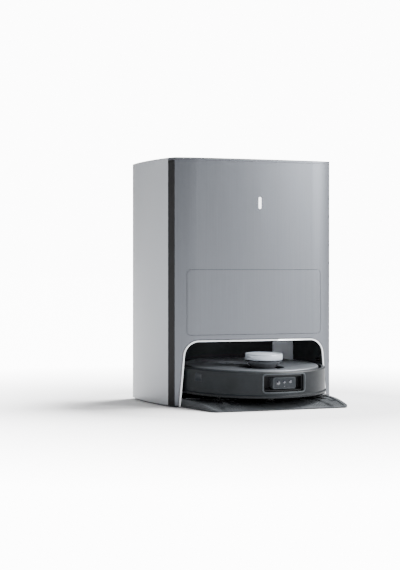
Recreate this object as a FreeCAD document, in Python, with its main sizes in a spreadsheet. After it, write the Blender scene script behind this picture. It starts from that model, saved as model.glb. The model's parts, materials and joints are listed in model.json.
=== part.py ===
"""A robot vacuum parked in its washing and emptying station.

The cabinet stands on the floor with its front towards -Y and its centre plane at x = 0. Everything
is in millimetres. Sizes are cells of the sheet "Sizes"; the robot's own heights are measured
from the tray that it stands on.
"""

import FreeCAD, Part
import math
import os
import re

from FreeCAD import Placement, Rotation, Vector

doc = FreeCAD.newDocument("RobotStation")

# ---------------------------------------------------------------- driving dimensions
SIZES = {
    # cabinet
    "overall_height": 578.0,
    "rear_y": 220.0,
    "rear_half": 204.0,
    "rear_corner_radius": 12.0,
    "bulge_half": 215.0,
    "bulge_y": 92.0,
    "joint_half": 207.0,
    "joint_y": -37.0,
    "corner_half": 200.0,
    "corner_y": -61.0,
    "flat_half": 150.0,
    "flat_y": -70.5,
    "nose_y": -75.0,
    "shell_wall": 3.0,
    "shell_foot": 4.0,
    "seam": 0.4,
    "rear_return": 14.0,
    "lid_thickness": 6.0,
    "lid_gap": 0.5,
    "lid_pin_radius": 1.5,
    "bore_clearance": 0.06,
    # arch in the front, and its trim
    "arch_top": 151.0,
    "arch_half": 187.5,
    "arch_lean": 0.085,
    "arch_radius": 34.0,
    "trim_width": 3.3,
    "trim_proud": 0.8,
    "trim_shadow": 1.6,
    "frame_width": 8.0,
    # door over the dust bag
    "door_half": 172.0,
    "door_low": 167.2,
    "door_high": 318.0,
    "door_radius": 9.0,
    "door_gap": 0.8,
    # status light
    "lamp_x": 10.0,
    "lamp_z": 475.0,
    "lamp_half": 3.5,
    "lamp_tall": 28.0,
    # tray and ramp
    "tray_floor": 20.0,
    "tray_tilt": 2.5,
    "sump_height": 17.0,
    "foot_height": 1.5,
    "foot_radius": 9.0,
    "ramp_root_y": -67.0,
    "ramp_bend_y": -125.0,
    "ramp_root_half": 185.0,
    "ramp_tip_y": -220.0,
    "ramp_tip_half": 168.0,
    "ramp_tip_height": 3.0,
    "ramp_tip_radius": 12.0,
    "rim_width": 9.0,
    "rim_height": 2.0,
    "base_inset": 4.5,
    "wash_half": 130.0,
    "wash_front_y": 44.0,
    "wash_back_y": 148.0,
    "wash_depth": 10.0,
    "nub_radius": 2.0,
    "nub_pitch": 20.0,
    # room that the robot parks in
    "bay_back_y": 147.0,
    "bay_ceiling": 153.0,
    "bay_wall": 2.5,
    "bay_front_y": -53.0,
    "duct_cover_x": 146.8,
    "duct_cover_width": 56.0,
    "duct_cover_depth": 3.6,
    "duct_cover_top": 138.4,
    # dust chamber, duct and motors
    "chamber_half": 166.0,
    "chamber_low": 160.0,
    "chamber_high": 326.0,
    "chamber_back_y": 84.0,
    "chamber_wall": 2.5,
    "port_x": 110.0,
    "port_z": 245.0,
    "port_radius": 17.0,
    "duct_size": 46.0,
    "duct_left_x": 148.0,
    "duct_front_y": 150.0,
    "duct_low": 24.0,
    "motor_x": -30.0,
    "motor_y": 150.0,
    "motor_radius": 56.0,
    "motor_low": 165.0,
    "motor_height": 70.0,
    # tanks
    "deck_z": 330.0,
    "deck_thickness": 4.0,
    "tank_low": 336.0,
    "tank_high": 466.0,
    "tank_wall": 2.5,
    "tank_inset": 8.0,
    "tank_middle_gap": 5.0,
    "handle_x": 100.0,
    "handle_y": 60.0,
    "handle_z": 474.0,
    "handle_span": 92.0,
    "handle_reach": 40.0,
    "handle_bar": 7.0,
    "handle_pin_radius": 3.0,
    # charging contacts
    "contact_x": 179.5,
    "contact_y": -38.0,
    "contact_low": 98.0,
    # robot
    "robot_y": -38.0,
    "chassis_radius": 171.0,
    "chassis_wall": 2.5,
    "chassis_low": 14.0,
    "chassis_floor": 3.0,
    "deck_low": 61.0,
    "deck_plate": 3.0,
    "skirt_radius": 178.0,
    "body_high": 73.0,
    "cover_low": 72.5,
    "cover_high": 76.0,
    "cover_radius": 161.0,
    "cover_skirt_low": 67.5,
    "bumper_inner": 174.5,
    "bumper_outer": 178.0,
    "bumper_lip": 180.0,
    "bumper_low": 15.5,
    "bumper_high": 74.0,
    "bumper_half_angle": 86.5,
    "flange_inner": 168.5,
    "flange": 2.5,
    "camera_x": 5.5,
    "window_half": 52.0,
    "window_low": 29.5,
    "window_high": 68.0,
    "turret_y": -75.0,
    "turret_hole": 48.0,
    "turret_base_low": 64.0,
    "turret_base_high": 91.0,
    "turret_cap_radius": 44.0,
    "turret_cap_low": 93.5,
    "turret_cap_high": 107.5,
    "wheel_x": 115.0,
    "wheel_radius": 28.5,
    "wheel_width": 20.0,
    "ground_gap": 0.3,
    "pivot_y": 46.0,
    "pivot_z": 36.0,
    "pivot_radius": 4.0,
    "caster_y": -116.0,
    "caster_trail": 6.0,
    "caster_radius": 11.0,
    "caster_width": 14.0,
    "stem_radius": 6.0,
    "brush_y": -60.0,
    "brush_z": 22.5,
    "brush_radius": 14.5,
    "brush_core": 9.0,
    "brush_half": 82.0,
    "brush_fins": 6.0,
    "side_brush_x": 122.0,
    "side_brush_y": -100.0,
    "side_brush_reach": 80.0,
    "side_brush_arms": 3.0,
    "shaft_radius": 4.0,
    "mop_x": 62.0,
    "mop_y": 95.0,
    "mop_radius": 58.0,
    "mop_plate_radius": 54.0,
    "mop_shaft_radius": 5.0,
    "bin_half": 75.0,
    "bin_front_y": -15.0,
    "bin_back_y": 75.0,
    "bin_low": 18.0,
    "bin_high": 59.0,
    "bin_wall": 2.0,
    "fan_x": -105.0,
    "fan_y": 92.0,
    "fan_radius": 27.0,
}

sheet = doc.addObject("Spreadsheet::Sheet", "Sizes")
for row, (alias, value) in enumerate(SIZES.items(), start=1):
    sheet.set(f"A{row}", alias)
    sheet.set(f"B{row}", repr(value))
    sheet.setAlias(f"B{row}", alias)
doc.recompute()


class Cells:
    """Reads a driving dimension from the sheet: size.robot_y is the cell robot_y."""

    def __getattr__(self, alias):
        return float(getattr(sheet, alias))


size = Cells()
NODES = []


# ---------------------------------------------------------------- small helpers
def bound(text):
    """An expression in which every cell's name points at the sheet."""
    return re.sub(r"[a-z][a-z_]+", lambda m: f"Sizes.{m[0]}" if m[0] in SIZES else m[0], str(text))


def place(part, x=0, y=0, z=0, turn=None):
    """Puts an object at a place whose coordinates are bound to the sheet."""
    if turn:
        part.Placement = Placement(Vector(), Rotation(Vector(*turn[0]), turn[1]))
    for axis, text in zip("xyz", (x, y, z)):
        part.setExpression(f"Placement.Base.{axis}", bound(text))
    return part


def new(kind, name):
    return doc.addObject(kind, name)


def box(name, low, high):
    """A block between two corners, each a list of three expressions."""
    block = new("Part::Box", name)
    for side, a, b in zip(("Length", "Width", "Height"), low, high):
        block.setExpression(side, bound(f"({b}) - ({a})"))
    return place(block, *low)


TURNS = {"x": ((0, 1, 0), 90), "y": ((1, 0, 0), -90), "z": None}


def cylinder(name, radius, length, at=(0, 0, 0), axis="z"):
    """A cylinder that starts at a point and runs along +X, +Y or +Z."""
    rod = new("Part::Cylinder", name)
    rod.setExpression("Radius", bound(radius))
    rod.setExpression("Height", bound(length))
    return place(rod, *at, turn=TURNS[axis])


def fuse(name, *parts):
    joined = new("Part::MultiFuse", name)
    joined.Shapes = list(parts)
    return joined


def common(name, *parts):
    shared = new("Part::MultiCommon", name)
    shared.Shapes = list(parts)
    return shared


def cut(name, base, *tools):
    """base with every tool taken out of it."""
    left = new("Part::Cut", name)
    left.Base = base
    left.Tool = tools[0] if len(tools) == 1 else fuse(name + "Tools", *tools)
    return left


def node(label, part):
    """Marks an object as a sub-part of the product, under the name of its file."""
    part.Label = label
    NODES.append(part)
    return part


def lean(part):
    """Tips a piece of the robot nose down about the point below the robot's centre."""
    part.Placement = Placement(Vector(), Rotation(Vector(1, 0, 0), size.tray_tilt))
    sine, rest = "sin(tray_tilt)", "(1 - cos(tray_tilt))"
    part.setExpression("Placement.Base.y", bound(f"robot_y * {rest} + tray_floor * {sine}"))
    part.setExpression("Placement.Base.z", bound(f"tray_floor * {rest} - robot_y * {sine}"))
    return part


def floor_at(y):
    """The height of the sloping floor that the robot stands on."""
    return size.tray_floor + (y - size.robot_y) * math.tan(math.radians(size.tray_tilt))


def rounded_outline(points, radii):
    """The edges of a closed polygon, each corner rounded by its own radius."""
    corners = []
    count = len(points)
    for i, (point, radius) in enumerate(zip(points, radii)):
        corner = Vector(*point, 0)
        before = Vector(*points[i - 1], 0) - corner
        after = Vector(*points[(i + 1) % count], 0) - corner
        before.normalize()
        after.normalize()
        if radius == 0:
            corners.append((corner, None, corner))
            continue
        half = before.getAngle(after) / 2
        reach = radius / math.tan(half)
        middle = before + after
        middle.normalize()
        bottom = corner + middle * (radius / math.sin(half) - radius)
        corners.append((corner + before * reach, bottom, corner + after * reach))
    edges = []
    for i, (start, middle, end) in enumerate(corners):
        if middle is not None:
            edges.append(Part.Arc(start, middle, end))
        following = corners[(i + 1) % count][0]
        edges.append(Part.LineSegment(end, following))
    return edges


PLANES = {"x": "YZ_Plane", "y": "XZ_Plane", "z": "XY_Plane"}


def prism(name, axis, edges, low, high):
    """A body padded from a closed sketch, between two coordinates along an axis."""
    body = new("PartDesign::Body", name)
    sketch = body.newObject("Sketcher::SketchObject", name + "Sketch")
    plane = next(f for f in body.Origin.OriginFeatures if f.Role == PLANES[axis])
    sketch.AttachmentSupport = (plane, [""])
    sketch.MapMode = "FlatFace"
    start = f"-({high})" if axis == "y" else low  # the XZ plane faces -Y
    sketch.setExpression("AttachmentOffset.Base.z", bound(start))
    sketch.addGeometry(edges, False)
    pad = body.newObject("PartDesign::Pad", name + "Pad")
    pad.Profile = sketch
    pad.setExpression("Length", bound(f"({high}) - ({low})"))
    return body


def turned(name, points):
    """A body turned about its own Z axis from a profile of radius and height."""
    body = new("PartDesign::Body", name)
    sketch = body.newObject("Sketcher::SketchObject", name + "Sketch")
    plane = next(f for f in body.Origin.OriginFeatures if f.Role == "XZ_Plane")
    sketch.AttachmentSupport = (plane, [""])
    sketch.MapMode = "FlatFace"
    sketch.addGeometry(rounded_outline(points, [0] * len(points)), False)
    whole = body.newObject("PartDesign::Revolution", name + "Turn")
    whole.Profile = sketch
    whole.ReferenceAxis = (sketch, ["V_Axis"])
    whole.Angle = 360
    return body


# ---------------------------------------------------------------- plan of the cabinet
def tangent_middle(start, inward, end):
    """The middle of the arc that leaves start square to the unit vector inward."""
    chord = end - start
    radius = chord.dot(chord) / (2 * chord.dot(inward))
    centre = start + inward * radius
    middle = (start + end) * 0.5 - centre
    middle.normalize()
    return centre + middle * radius


def plan_pieces():
    """The right half of the plan from the nose to the back: start, middle and end of each curve."""
    corner = size.rear_corner_radius
    bend = Vector(size.rear_half - corner, size.rear_y - corner, 0)
    slant = Vector(math.sin(math.pi / 4), math.cos(math.pi / 4), 0) * corner
    side = Vector(size.rear_half, size.rear_y - corner, 0)
    back = Vector(size.rear_half - corner, size.rear_y, 0)
    bulge = Vector(size.bulge_half, size.bulge_y, 0)
    joint = Vector(size.joint_half, size.joint_y, 0)
    edge = Vector(size.corner_half, size.corner_y, 0)
    flat = Vector(size.flat_half, size.flat_y, 0)
    nose = Vector(0, size.nose_y, 0)
    rise = size.flat_y - size.nose_y
    front_radius = (size.flat_half**2 + rise**2) / (2 * rise)
    lean = math.asin(size.flat_half / front_radius)
    inward = Vector(-math.sin(lean), math.cos(lean), 0)
    half = lean / 2
    shallow = Vector(front_radius * math.sin(half), nose.y + front_radius * (1 - math.cos(half)), 0)
    return [
        (nose, shallow, flat),
        (flat, tangent_middle(flat, inward, edge), edge),
        (edge, None, joint),
        (joint, bulge, side),
        (side, bend + slant, back),
        (back, None, Vector(0, size.rear_y, 0)),
    ]


def outward(piece, point):
    """The direction out of the plan, square to a curve at one of its points."""
    start, middle, end = piece
    if middle is None:
        run = end - start
        normal = Vector(run.y, -run.x, 0)
    else:
        normal = point - Part.Arc(start, middle, end).toShape().Curve.Center
    normal.normalize()
    return normal


def plan_edges(inset):
    """The plan's edges, each moved inwards by an inset, with its corners kept sharp."""
    pieces = plan_pieces()
    corners = [Vector(0, size.nose_y + inset, 0)]
    for before, after in zip(pieces, pieces[1:]):
        point = before[2]
        one, two = outward(before, point), outward(after, point)
        corners.append(point - (one + two) * (inset / (1 + one.dot(two))))
    corners.append(Vector(0, size.rear_y - inset, 0))
    edges = []
    for piece, start, end in zip(pieces, corners, corners[1:]):
        middle = piece[1]
        if middle is not None:
            middle = middle - outward(piece, middle) * inset
        for sign in (1, -1):
            ends = [Vector(sign * p.x, p.y, 0) for p in (start, middle or start, end)]
            if middle is None:
                edges.append(Part.LineSegment(ends[0], ends[2]))
            else:
                edges.append(Part.Arc(*ends))
    return edges


def plan_prism(name, inset, low, high):
    """The cabinet's plan, drawn in by an inset and padded between two heights."""
    return prism(name, "z", plan_edges(inset), low, high)


def arch_prism(name, outset, foot, front="-200", back="0"):
    """The arch's outline, grown by an outset, as a block through the cabinet's front."""
    half = size.arch_half + outset
    top = size.arch_top + outset
    lean = size.arch_lean
    points = [
        (-half + lean * foot, foot),
        (-half + lean * top, top),
        (half - lean * top, top),
        (half - lean * foot, foot),
    ]
    radius = size.arch_radius + outset
    return prism(name, "y", rounded_outline(points, [0, radius, radius, 0]), front, back)


def door_prism(name, outset):
    """The door's outline, grown by an outset, as a block through the cabinet's front."""
    half = size.door_half + outset
    low = size.door_low - outset
    high = size.door_high + outset
    points = [(-half, low), (-half, high), (half, high), (half, low)]
    return prism(name, "y", rounded_outline(points, [size.door_radius + outset] * 4), "-200", "0")


def lamp_prism(name, outset):
    """The upright pill shape of the status light, as a block through the cabinet's front."""
    half, tall = size.lamp_half + outset, size.lamp_tall / 2 + outset
    left, right = size.lamp_x - half, size.lamp_x + half
    low, high = size.lamp_z - tall, size.lamp_z + tall
    points = [(left, low), (left, high), (right, high), (right, low)]
    return prism(name, "y", rounded_outline(points, [half - 0.1] * 4), "-200", "0")


# ---------------------------------------------------------------- outer shell
BODY_TOP = "overall_height - lid_thickness - lid_gap"

outer = plan_prism("OuterBlock", 0.0, "shell_foot", "overall_height")
inner = plan_prism("InnerBlock", size.shell_wall, "0", "overall_height + 10")
skin = cut("Skin", outer, inner)


def side_panels():
    for side, low, high in (
        ("left", "-300", "-(rear_half - rear_return)"),
        ("right", "rear_half - rear_return", "300"),
    ):
        zone = box(f"{side}PanelZone", (low, "joint_y + seam", "0"), (high, "300", "600"))
        node(f"{side}_side_panel", common(f"{side}Panel", skin, zone))


def rear_panel():
    zone = box(
        "RearZone",
        ("-(rear_half - rear_return - seam)", "rear_y - 10", "0"),
        ("rear_half - rear_return - seam", "300", BODY_TOP),
    )
    wall = common("RearWall", skin, zone)
    slots = [
        box(f"VentSlot{i}", ("-60", "rear_y - 20", f"{z}"), ("60", "rear_y + 5", f"{z} + 4"))
        for i, z in enumerate(range(180, 252, 12))
    ]
    inlet = box("InletHole", ("119.6", "rear_y - 20", "29.6"), ("150.4", "rear_y + 5", "55.4"))
    node("rear_panel", cut("RearPanel", wall, inlet, *slots))
    shell = box("InletShell", ("120", "rear_y - 18", "30"), ("150", "rear_y - 0.6", "55"))
    hollow = box("InletHollow", ("124", "rear_y - 14", "36"), ("146", "rear_y + 1", "49"))
    pins = [
        cylinder(f"InletPin{i}", "1.2", "10", (x, "rear_y - 15", "42.5"), "y")
        for i, x in enumerate(("129", "141"))
    ]
    node("power_inlet", fuse("PowerInlet", cut("InletBody", shell, hollow), *pins))


def corner_strips():
    strips = [
        common(
            f"CornerStrip{side}",
            skin,
            box(f"StripZone{side}", (low, "corner_y + 0.3", "0"), (high, "joint_y", BODY_TOP)),
        )
        for side, low, high in (("L", "-300", "-150"), ("R", "150", "300"))
    ]
    node("corner_strips", fuse("CornerStrips", *strips))


def front_fascia():
    zone = box("FasciaZone", ("-300", "-200", "0"), ("300", "corner_y", BODY_TOP))
    wall = common("FasciaWall", skin, zone)
    opening = arch_prism("FasciaArch", size.trim_width + size.trim_shadow, -20.0)
    doorway = door_prism("FasciaDoorway", size.door_gap)
    lamp_hole = lamp_prism("LampHole", 0.2)
    node("front_fascia", cut("FrontFascia", wall, opening, doorway, lamp_hole))
    node("status_light", common("StatusLight", skin, lamp_prism("LampBlock", 0.0)))


def access_door():
    block = door_prism("DoorBlock", 0.0)
    node("access_door", common("AccessDoor", skin, block))


def arch_pieces():
    proud = plan_prism("TrimOuter", -size.trim_proud, "2", "400")
    ring = cut("TrimRing", proud, plan_prism("TrimInner", size.shell_wall, "0", "410"))
    band = cut("TrimBand", arch_prism("TrimOut", size.trim_width, 2.0), arch_prism("TrimIn", 0.0, -5.0))
    zone = box("TrimZone", ("-300", "-200", "0"), ("300", "-40", "300"))
    node("arch_trim", common("ArchTrim", ring, band, zone))


def lid():
    """The lid turns about its rear edge, which is rounded about the hinge's axis."""
    low = "overall_height - lid_thickness"
    middle = "rear_half - rear_return - seam"
    axis_y = "rear_y - lid_thickness / 2"
    inside = common(
        "LidInside",
        plan_prism("LidPlate", size.shell_wall + size.seam, low, "overall_height"),
        box("LidInsideZone", ("-300", "-200", "0"), ("300", f"{axis_y} - 5", "600")),
    )
    nose = common(
        "LidNose",
        plan_prism("LidNosePlate", 0.0, low, "overall_height"),
        box("LidNoseZone", ("-300", "-200", "0"), ("300", "joint_y", "600")),
    )
    tail = box("LidTail", (f"-({middle})", f"{axis_y} - 8", low), (middle, axis_y, "overall_height"))
    height = "overall_height - lid_thickness / 2"
    roll = cylinder(
        "LidRoll", "lid_thickness / 2", f"2 * ({middle})", (f"-({middle})", axis_y, height), "x"
    )
    whole = fuse("LidWhole", inside, nose, tail, roll)
    bore = "lid_pin_radius + bore_clearance"
    bores = [
        cylinder(f"LidBore{i}", bore, "12", (x, axis_y, height), "x")
        for i, x in enumerate((f"{middle} - 10", f"-({middle}) - 2"))
    ]
    node("lid", cut("Lid", whole, *bores))
    pins = [
        cylinder(f"LidPin{i}", "lid_pin_radius", "9 + seam", (x, axis_y, height), "x")
        for i, x in enumerate((f"{middle} - 9", f"-({middle}) - seam"))
    ]
    node("lid_hinge_pins", fuse("LidHingePins", *pins))


# ---------------------------------------------------------------- base, ramp and wash tray
def wedge(name, lift, last_y, drop_to=None):
    """The tray's side view as a block across the full width, with its top raised by lift.

    The floor keeps its slope down to a bend, and from there the ramp's top is an arc that
    leaves that slope without a corner. Behind last_y the block goes on at the height drop_to.
    """
    foot = size.foot_height
    slope = math.radians(size.tray_tilt)
    bend = Vector(size.ramp_bend_y, floor_at(size.ramp_bend_y) + lift, 0)
    tip = Vector(size.ramp_tip_y, size.ramp_tip_height + lift, 0)
    middle = tangent_middle(bend, Vector(math.sin(slope), -math.cos(slope), 0), tip)
    corners = [bend, Vector(last_y, floor_at(last_y) + lift, 0)]
    if drop_to is None:
        corners.append(Vector(last_y, foot, 0))
    else:
        step = ((last_y, drop_to), (size.rear_y, drop_to), (size.rear_y, foot))
        corners += [Vector(y, z, 0) for y, z in step]
    corners += [Vector(size.ramp_tip_y, foot, 0), tip]
    edges = [Part.Arc(tip, middle, bend)]
    for start, end in zip(corners, corners[1:]):
        edges.append(Part.LineSegment(start, end))
    return prism(name, "x", edges, "-250", "250")


def ramp_plan(name, inset, last_y):
    """The ramp seen from above, drawn in at the sides by an inset."""
    tip = size.ramp_tip_half - inset
    root = size.ramp_root_half - inset
    points = [(-root, last_y), (-tip, size.ramp_tip_y), (tip, size.ramp_tip_y), (root, last_y)]
    radius = size.ramp_tip_radius
    return prism(name, "z", rounded_outline(points, [0, radius, radius, 0]), "0", "60")


def wash_pocket(name, gap, low, high):
    """A block under the mops, in the frame of the sloping floor."""
    pocket = block(
        name,
        (f"-wash_half + {gap}", f"wash_front_y + {gap}", low),
        (f"wash_half - {gap}", f"wash_back_y - {gap}", high),
    )
    return pocket


def base_tray():
    whole = wedge("TrayWedge", 0.0, size.bay_back_y + 3, size.sump_height)
    track = ramp_plan("TrackPlan", 0.0, size.ramp_root_y + 12)
    plate = common(
        "BasePlate",
        plan_prism("BasePlan", size.base_inset, "foot_height", "60"),
        box("BaseZone", ("-300", "ramp_root_y + 6", "0"), ("300", "300", "60")),
    )
    solid = common("TraySolid", whole, fuse("TrayPlan", track, plate))
    last = size.ramp_root_y + 3
    rim_band = cut(
        "RimBand",
        ramp_plan("RimPlan", 0.0, last),
        ramp_plan("RimInside", size.rim_width, last + 20),
        box("RimFront", ("-130", "-230", "0"), ("130", "0", "60")),
    )
    rims = common("RampRims", wedge("RimWedge", size.rim_height, last), rim_band)
    pocket = wash_pocket("WashPocket", "0", "-wash_depth", "5")
    notch = block(
        "FingerNotch", ("-20", "wash_front_y - 7", "-wash_depth / 2"), ("20", "wash_front_y + 1", "5")
    )
    recess = lean(fuse("WashRecess", pocket, notch))
    pads = [
        cylinder(f"FootSeat{i}", "foot_radius + 0.2", "foot_height + 1", (x, y, "0"))
        for i, (x, y) in enumerate(FEET)
    ]
    whole_tray = fuse("BaseWhole", solid, rims)
    node("base_tray", cut("BaseTray", whole_tray, recess, *pads))


def wash_tray():
    shell = wash_pocket("WashBlock", "0.5", "-wash_depth + 0.3", "0")
    basin = wash_pocket("WashBasin", "4", "-wash_depth + 3", "1")
    pitch = size.nub_pitch
    columns = int((size.wash_half - 8) // pitch)
    nubs = [
        disc(
            f"Nub{i}_{j}",
            "nub_radius",
            "-wash_depth + 1",
            "-0.6",
            f"{i} * nub_pitch",
            f"wash_front_y + 10 + {j} * nub_pitch",
        )
        for i in range(-columns, columns + 1)
        for j in range(5)
    ]
    node("wash_tray", lean(fuse("WashTray", cut("WashShell", shell, basin), *nubs)))


FEET = [(x, y) for x in ("-150", "150") for y in ("-170", "-20", "190")]


def feet():
    pads = [
        cylinder(f"Foot{i}", "foot_radius", "foot_height + 1", (x, y, "0"))
        for i, (x, y) in enumerate(FEET)
    ]
    node("rubber_feet", fuse("RubberFeet", *pads))


# ---------------------------------------------------------------- the bay that the robot parks in
def bay_housing():
    """The tub round the robot: side walls, back, ceiling, arch frame and contact blocks."""
    top = "bay_ceiling + bay_wall"
    walls = cut(
        "BayWalls",
        common(
            "BayBlock",
            plan_prism("BayPlan", size.base_inset, "2", top),
            box("BayZone", ("-300", "bay_front_y", "0"), ("300", "bay_back_y + bay_wall", "600")),
        ),
        common(
            "BayRoom",
            plan_prism("BayRoomPlan", size.base_inset + size.bay_wall, "0", "bay_ceiling"),
            box("BayRoomZone", ("-300", "-200", "0"), ("300", "bay_back_y", "600")),
        ),
    )
    visor = common(
        "BayVisor",
        plan_prism("VisorPlan", size.shell_wall + 2, "bay_ceiling", top),
        box("VisorZone", ("-300", "-200", "0"), ("300", "bay_front_y + 1", "600")),
    )
    ring = cut(
        "FrameRing",
        plan_prism("FrameOuter", size.shell_wall + 0.2, "2", "bay_ceiling + bay_wall"),
        plan_prism("FrameInner", size.shell_wall + 3.2, "0", "410"),
    )
    band = cut(
        "FrameBand",
        arch_prism("FrameOut", size.frame_width, 2.0),
        arch_prism("FrameIn", 0.0, -5.0),
    )
    zone = box("FrameZone", ("-300", "-200", "0"), ("300", "bay_front_y + 1", "300"))
    frame = common("ArchFrame", ring, band, zone)
    blocks, slots = [], []
    for side, sign in (("left", -1), ("right", 1)):
        for kind, pieces, reach, half, low, high in (
            ("Block", blocks, 3.5, "16", "contact_low - 5", "contact_low + 13"),
            ("Slot", slots, 1.0, "10.4", "contact_low - 0.4", "contact_low + 8.4"),
        ):
            near, far = size.contact_x + reach, 220.0 if kind == "Block" else 193.5
            ends = sorted((sign * near, sign * far))
            pieces.append(
                box(
                    f"{side}Contact{kind}",
                    (ends[0], f"contact_y - {half}", low),
                    (ends[1], f"contact_y + {half}", high),
                )
            )
    boxes = common("ContactBlocks", fuse("ContactBoxes", *blocks), plan_prism("BlockPlan", 4.5, "0", "300"))
    port = box(
        "BayPort",
        ("duct_cover_x + 8", "bay_back_y - 5", "duct_low + 10"),
        ("duct_cover_x + duct_cover_width - 8", "bay_back_y + 10", "duct_low + 40"),
    )
    under = wedge("BayUnder", 0.3, size.bay_back_y + 3, size.sump_height)
    node(
        "bay_housing",
        cut("BayHousing", fuse("BayShell", walls, visor, frame, boxes), port, under, *slots),
    )


def duct_cover():
    left = size.duct_cover_x
    right = left + size.duct_cover_width
    top = size.duct_cover_top
    low = floor_at(size.bay_back_y) + 0.6
    outline = rounded_outline([(left, low), (left, top), (right, top), (right, low)], [0, 5, 5, 0])
    plate = prism("DuctPlate", "y", outline, "bay_back_y - duct_cover_depth", "bay_back_y - 0.1")
    port = box(
        "CoverPort",
        ("duct_cover_x + 8", "bay_back_y - 20", "duct_low + 10"),
        ("duct_cover_x + duct_cover_width - 8", "bay_back_y + 10", "duct_low + 40"),
    )
    node("duct_cover", cut("DuctCover", plate, port))


def charge_contacts():
    """A sprung metal electrode on each side, in a slot of its block."""
    low, high = size.contact_low, size.contact_low + 8
    tip, tail = size.contact_x, size.contact_x + 11
    for side, sign in (("left", -1), ("right", 1)):
        points = [
            (sign * tip, low + 2),
            (sign * tip, high - 2),
            (sign * (tip + 2), high),
            (sign * tail, high),
            (sign * tail, low),
            (sign * (tip + 2), low),
        ]
        edges = rounded_outline(points, [0] * 6)
        name = f"{side}_charge_contact"
        node(name, prism(f"{side}Electrode", "y", edges, "contact_y - 10", "contact_y + 10"))


# ---------------------------------------------------------------- dust chamber, duct and motors
def dust_chamber():
    shell = common(
        "ChamberBlock",
        plan_prism("ChamberPlan", size.shell_wall + 0.8, "chamber_low", "chamber_high"),
        box(
            "ChamberZone",
            ("-chamber_half", "-200", "0"),
            ("chamber_half", "chamber_back_y", "600"),
        ),
    )
    cavity = box(
        "ChamberCavity",
        ("-chamber_half + chamber_wall", "-200", "chamber_low + chamber_wall"),
        ("chamber_half - chamber_wall", "chamber_back_y - chamber_wall", "chamber_high - chamber_wall"),
    )
    port = cylinder("ChamberPort", "port_radius", "20", ("port_x", "chamber_back_y - 10", "port_z"), "y")
    node("dust_chamber", cut("DustChamber", shell, cavity, port))


def dust_bag():
    block = box("BagBlock", ("-140", "-48", "166"), ("150", "74", "298"))
    doc.recompute()
    soft = new("Part::Fillet", "DustBag")
    soft.Base = block
    soft.Edges = [(i + 1, 18.0, 18.0) for i in range(len(block.Shape.Edges))]
    node("dust_bag", soft)
    plate = box("CollarPlate", ("port_x - 38", "75", "port_z - 46"), ("port_x + 38", "78", "port_z + 46"))
    hole = cylinder("CollarHole", "port_radius", "10", ("port_x", "72", "port_z"), "y")
    node("bag_collar", cut("BagCollar", plate, hole))


def suction_duct():
    """A square duct from the port behind the robot up to the back of the dust chamber."""
    wall = 2.5
    left, front = size.duct_left_x, size.duct_front_y
    right, back = left + size.duct_size, front + size.duct_size
    high, step = size.port_z + 24, size.port_z - 24
    near = size.port_x - 24
    runs = [
        ((left, front, size.duct_low), (right, back, high)),
        ((near, front, step), (right, back, high)),
        ((near, size.chamber_back_y + 0.5, step), (near + 48, back, high)),
    ]
    solids, hollows = [], []
    for i, (low, top) in enumerate(runs):
        solids.append(box(f"DuctRun{i}", low, top))
        hollows.append(
            box(f"DuctHollow{i}", [v + wall for v in low], [v - wall for v in top])
        )
    sill = size.duct_low
    mouth = box("DuctMouth", (left + 6, front - 5, sill + 10), (right - 6, front + 5, sill + 40))
    outlet = cylinder("DuctOutlet", "port_radius", "10", ("port_x", "chamber_back_y - 2", "port_z"), "y")
    tube = fuse("DuctTube", *solids)
    node("suction_duct", cut("SuctionDuct", tube, *hollows, mouth, outlet))


def impeller(name, radius, low, height, x, y, blades):
    """A fan wheel: a disc, a hub and straight blades, spinning about Z."""
    disc = cylinder(f"{name}Disc", radius, "2", (x, y, low))
    hub = cylinder(f"{name}Hub", f"({radius}) * 0.3", height, (x, y, low))
    fins = []
    for i in range(blades):
        fin = new("Part::Box", f"{name}Fin{i}")
        fin.setExpression("Length", bound(f"({radius}) * 0.96"))
        fin.setExpression("Width", bound("1.6"))
        fin.setExpression("Height", bound(height))
        place(fin, x, y, low, turn=((0, 0, 1), 360.0 * i / blades))
        fins.append(fin)
    return fuse(name, disc, hub, *fins)


def vacuum_unit():
    case = cylinder("MotorCase", "motor_radius", "motor_height", ("motor_x", "motor_y", "motor_low"))
    room_inside = cylinder(
        "MotorRoom",
        "motor_radius - 3",
        "motor_height",
        ("motor_x", "motor_y", "motor_low + 25"),
    )
    node("vacuum_motor", cut("VacuumMotor", case, room_inside))
    node(
        "vacuum_impeller",
        impeller("VacuumImpeller", "motor_radius - 6", "motor_low + 25.5", "36", "motor_x", "motor_y", 9),
    )


def station_inner_parts():
    pump = cylinder("PumpBody", "19", "60", ("-165", "110", "190"), "y")
    foot = box("PumpFoot", ("-186", "115", "156"), ("-144", "165", "176"))
    node("water_pump", fuse("WaterPump", pump, foot))
    case = cylinder("DryerCase", "30", "34", ("-150", "178", "240"))
    hollow = cylinder("DryerRoom", "27.5", "34", ("-150", "178", "243"))
    node("drying_fan_case", cut("DryingFanCase", case, hollow))
    node("drying_fan", impeller("DryingFan", "25", "244", "26", "-150", "178", 11))
    board = box("Board", ("-90", "209", "180"), ("80", "210.6", "320"))
    chips = [
        box(f"Chip{i}", (x, "203", z), (f"{x} + 24", "209", f"{z} + 18"))
        for i, (x, z) in enumerate((("-80", "260"), ("-30", "286"), ("30", "264")))
    ]
    node("control_board", fuse("ControlBoard", board, *chips))


# ---------------------------------------------------------------- tanks
def tank_deck():
    plate = plan_prism("DeckPlate", size.base_inset, "deck_z", "deck_z + deck_thickness")
    divider = box("DeckDivider", ("-2", "-60", "deck_z"), ("2", "200", "tank_high - 6"))
    node("tank_deck", fuse("TankDeck", plate, divider))


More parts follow.
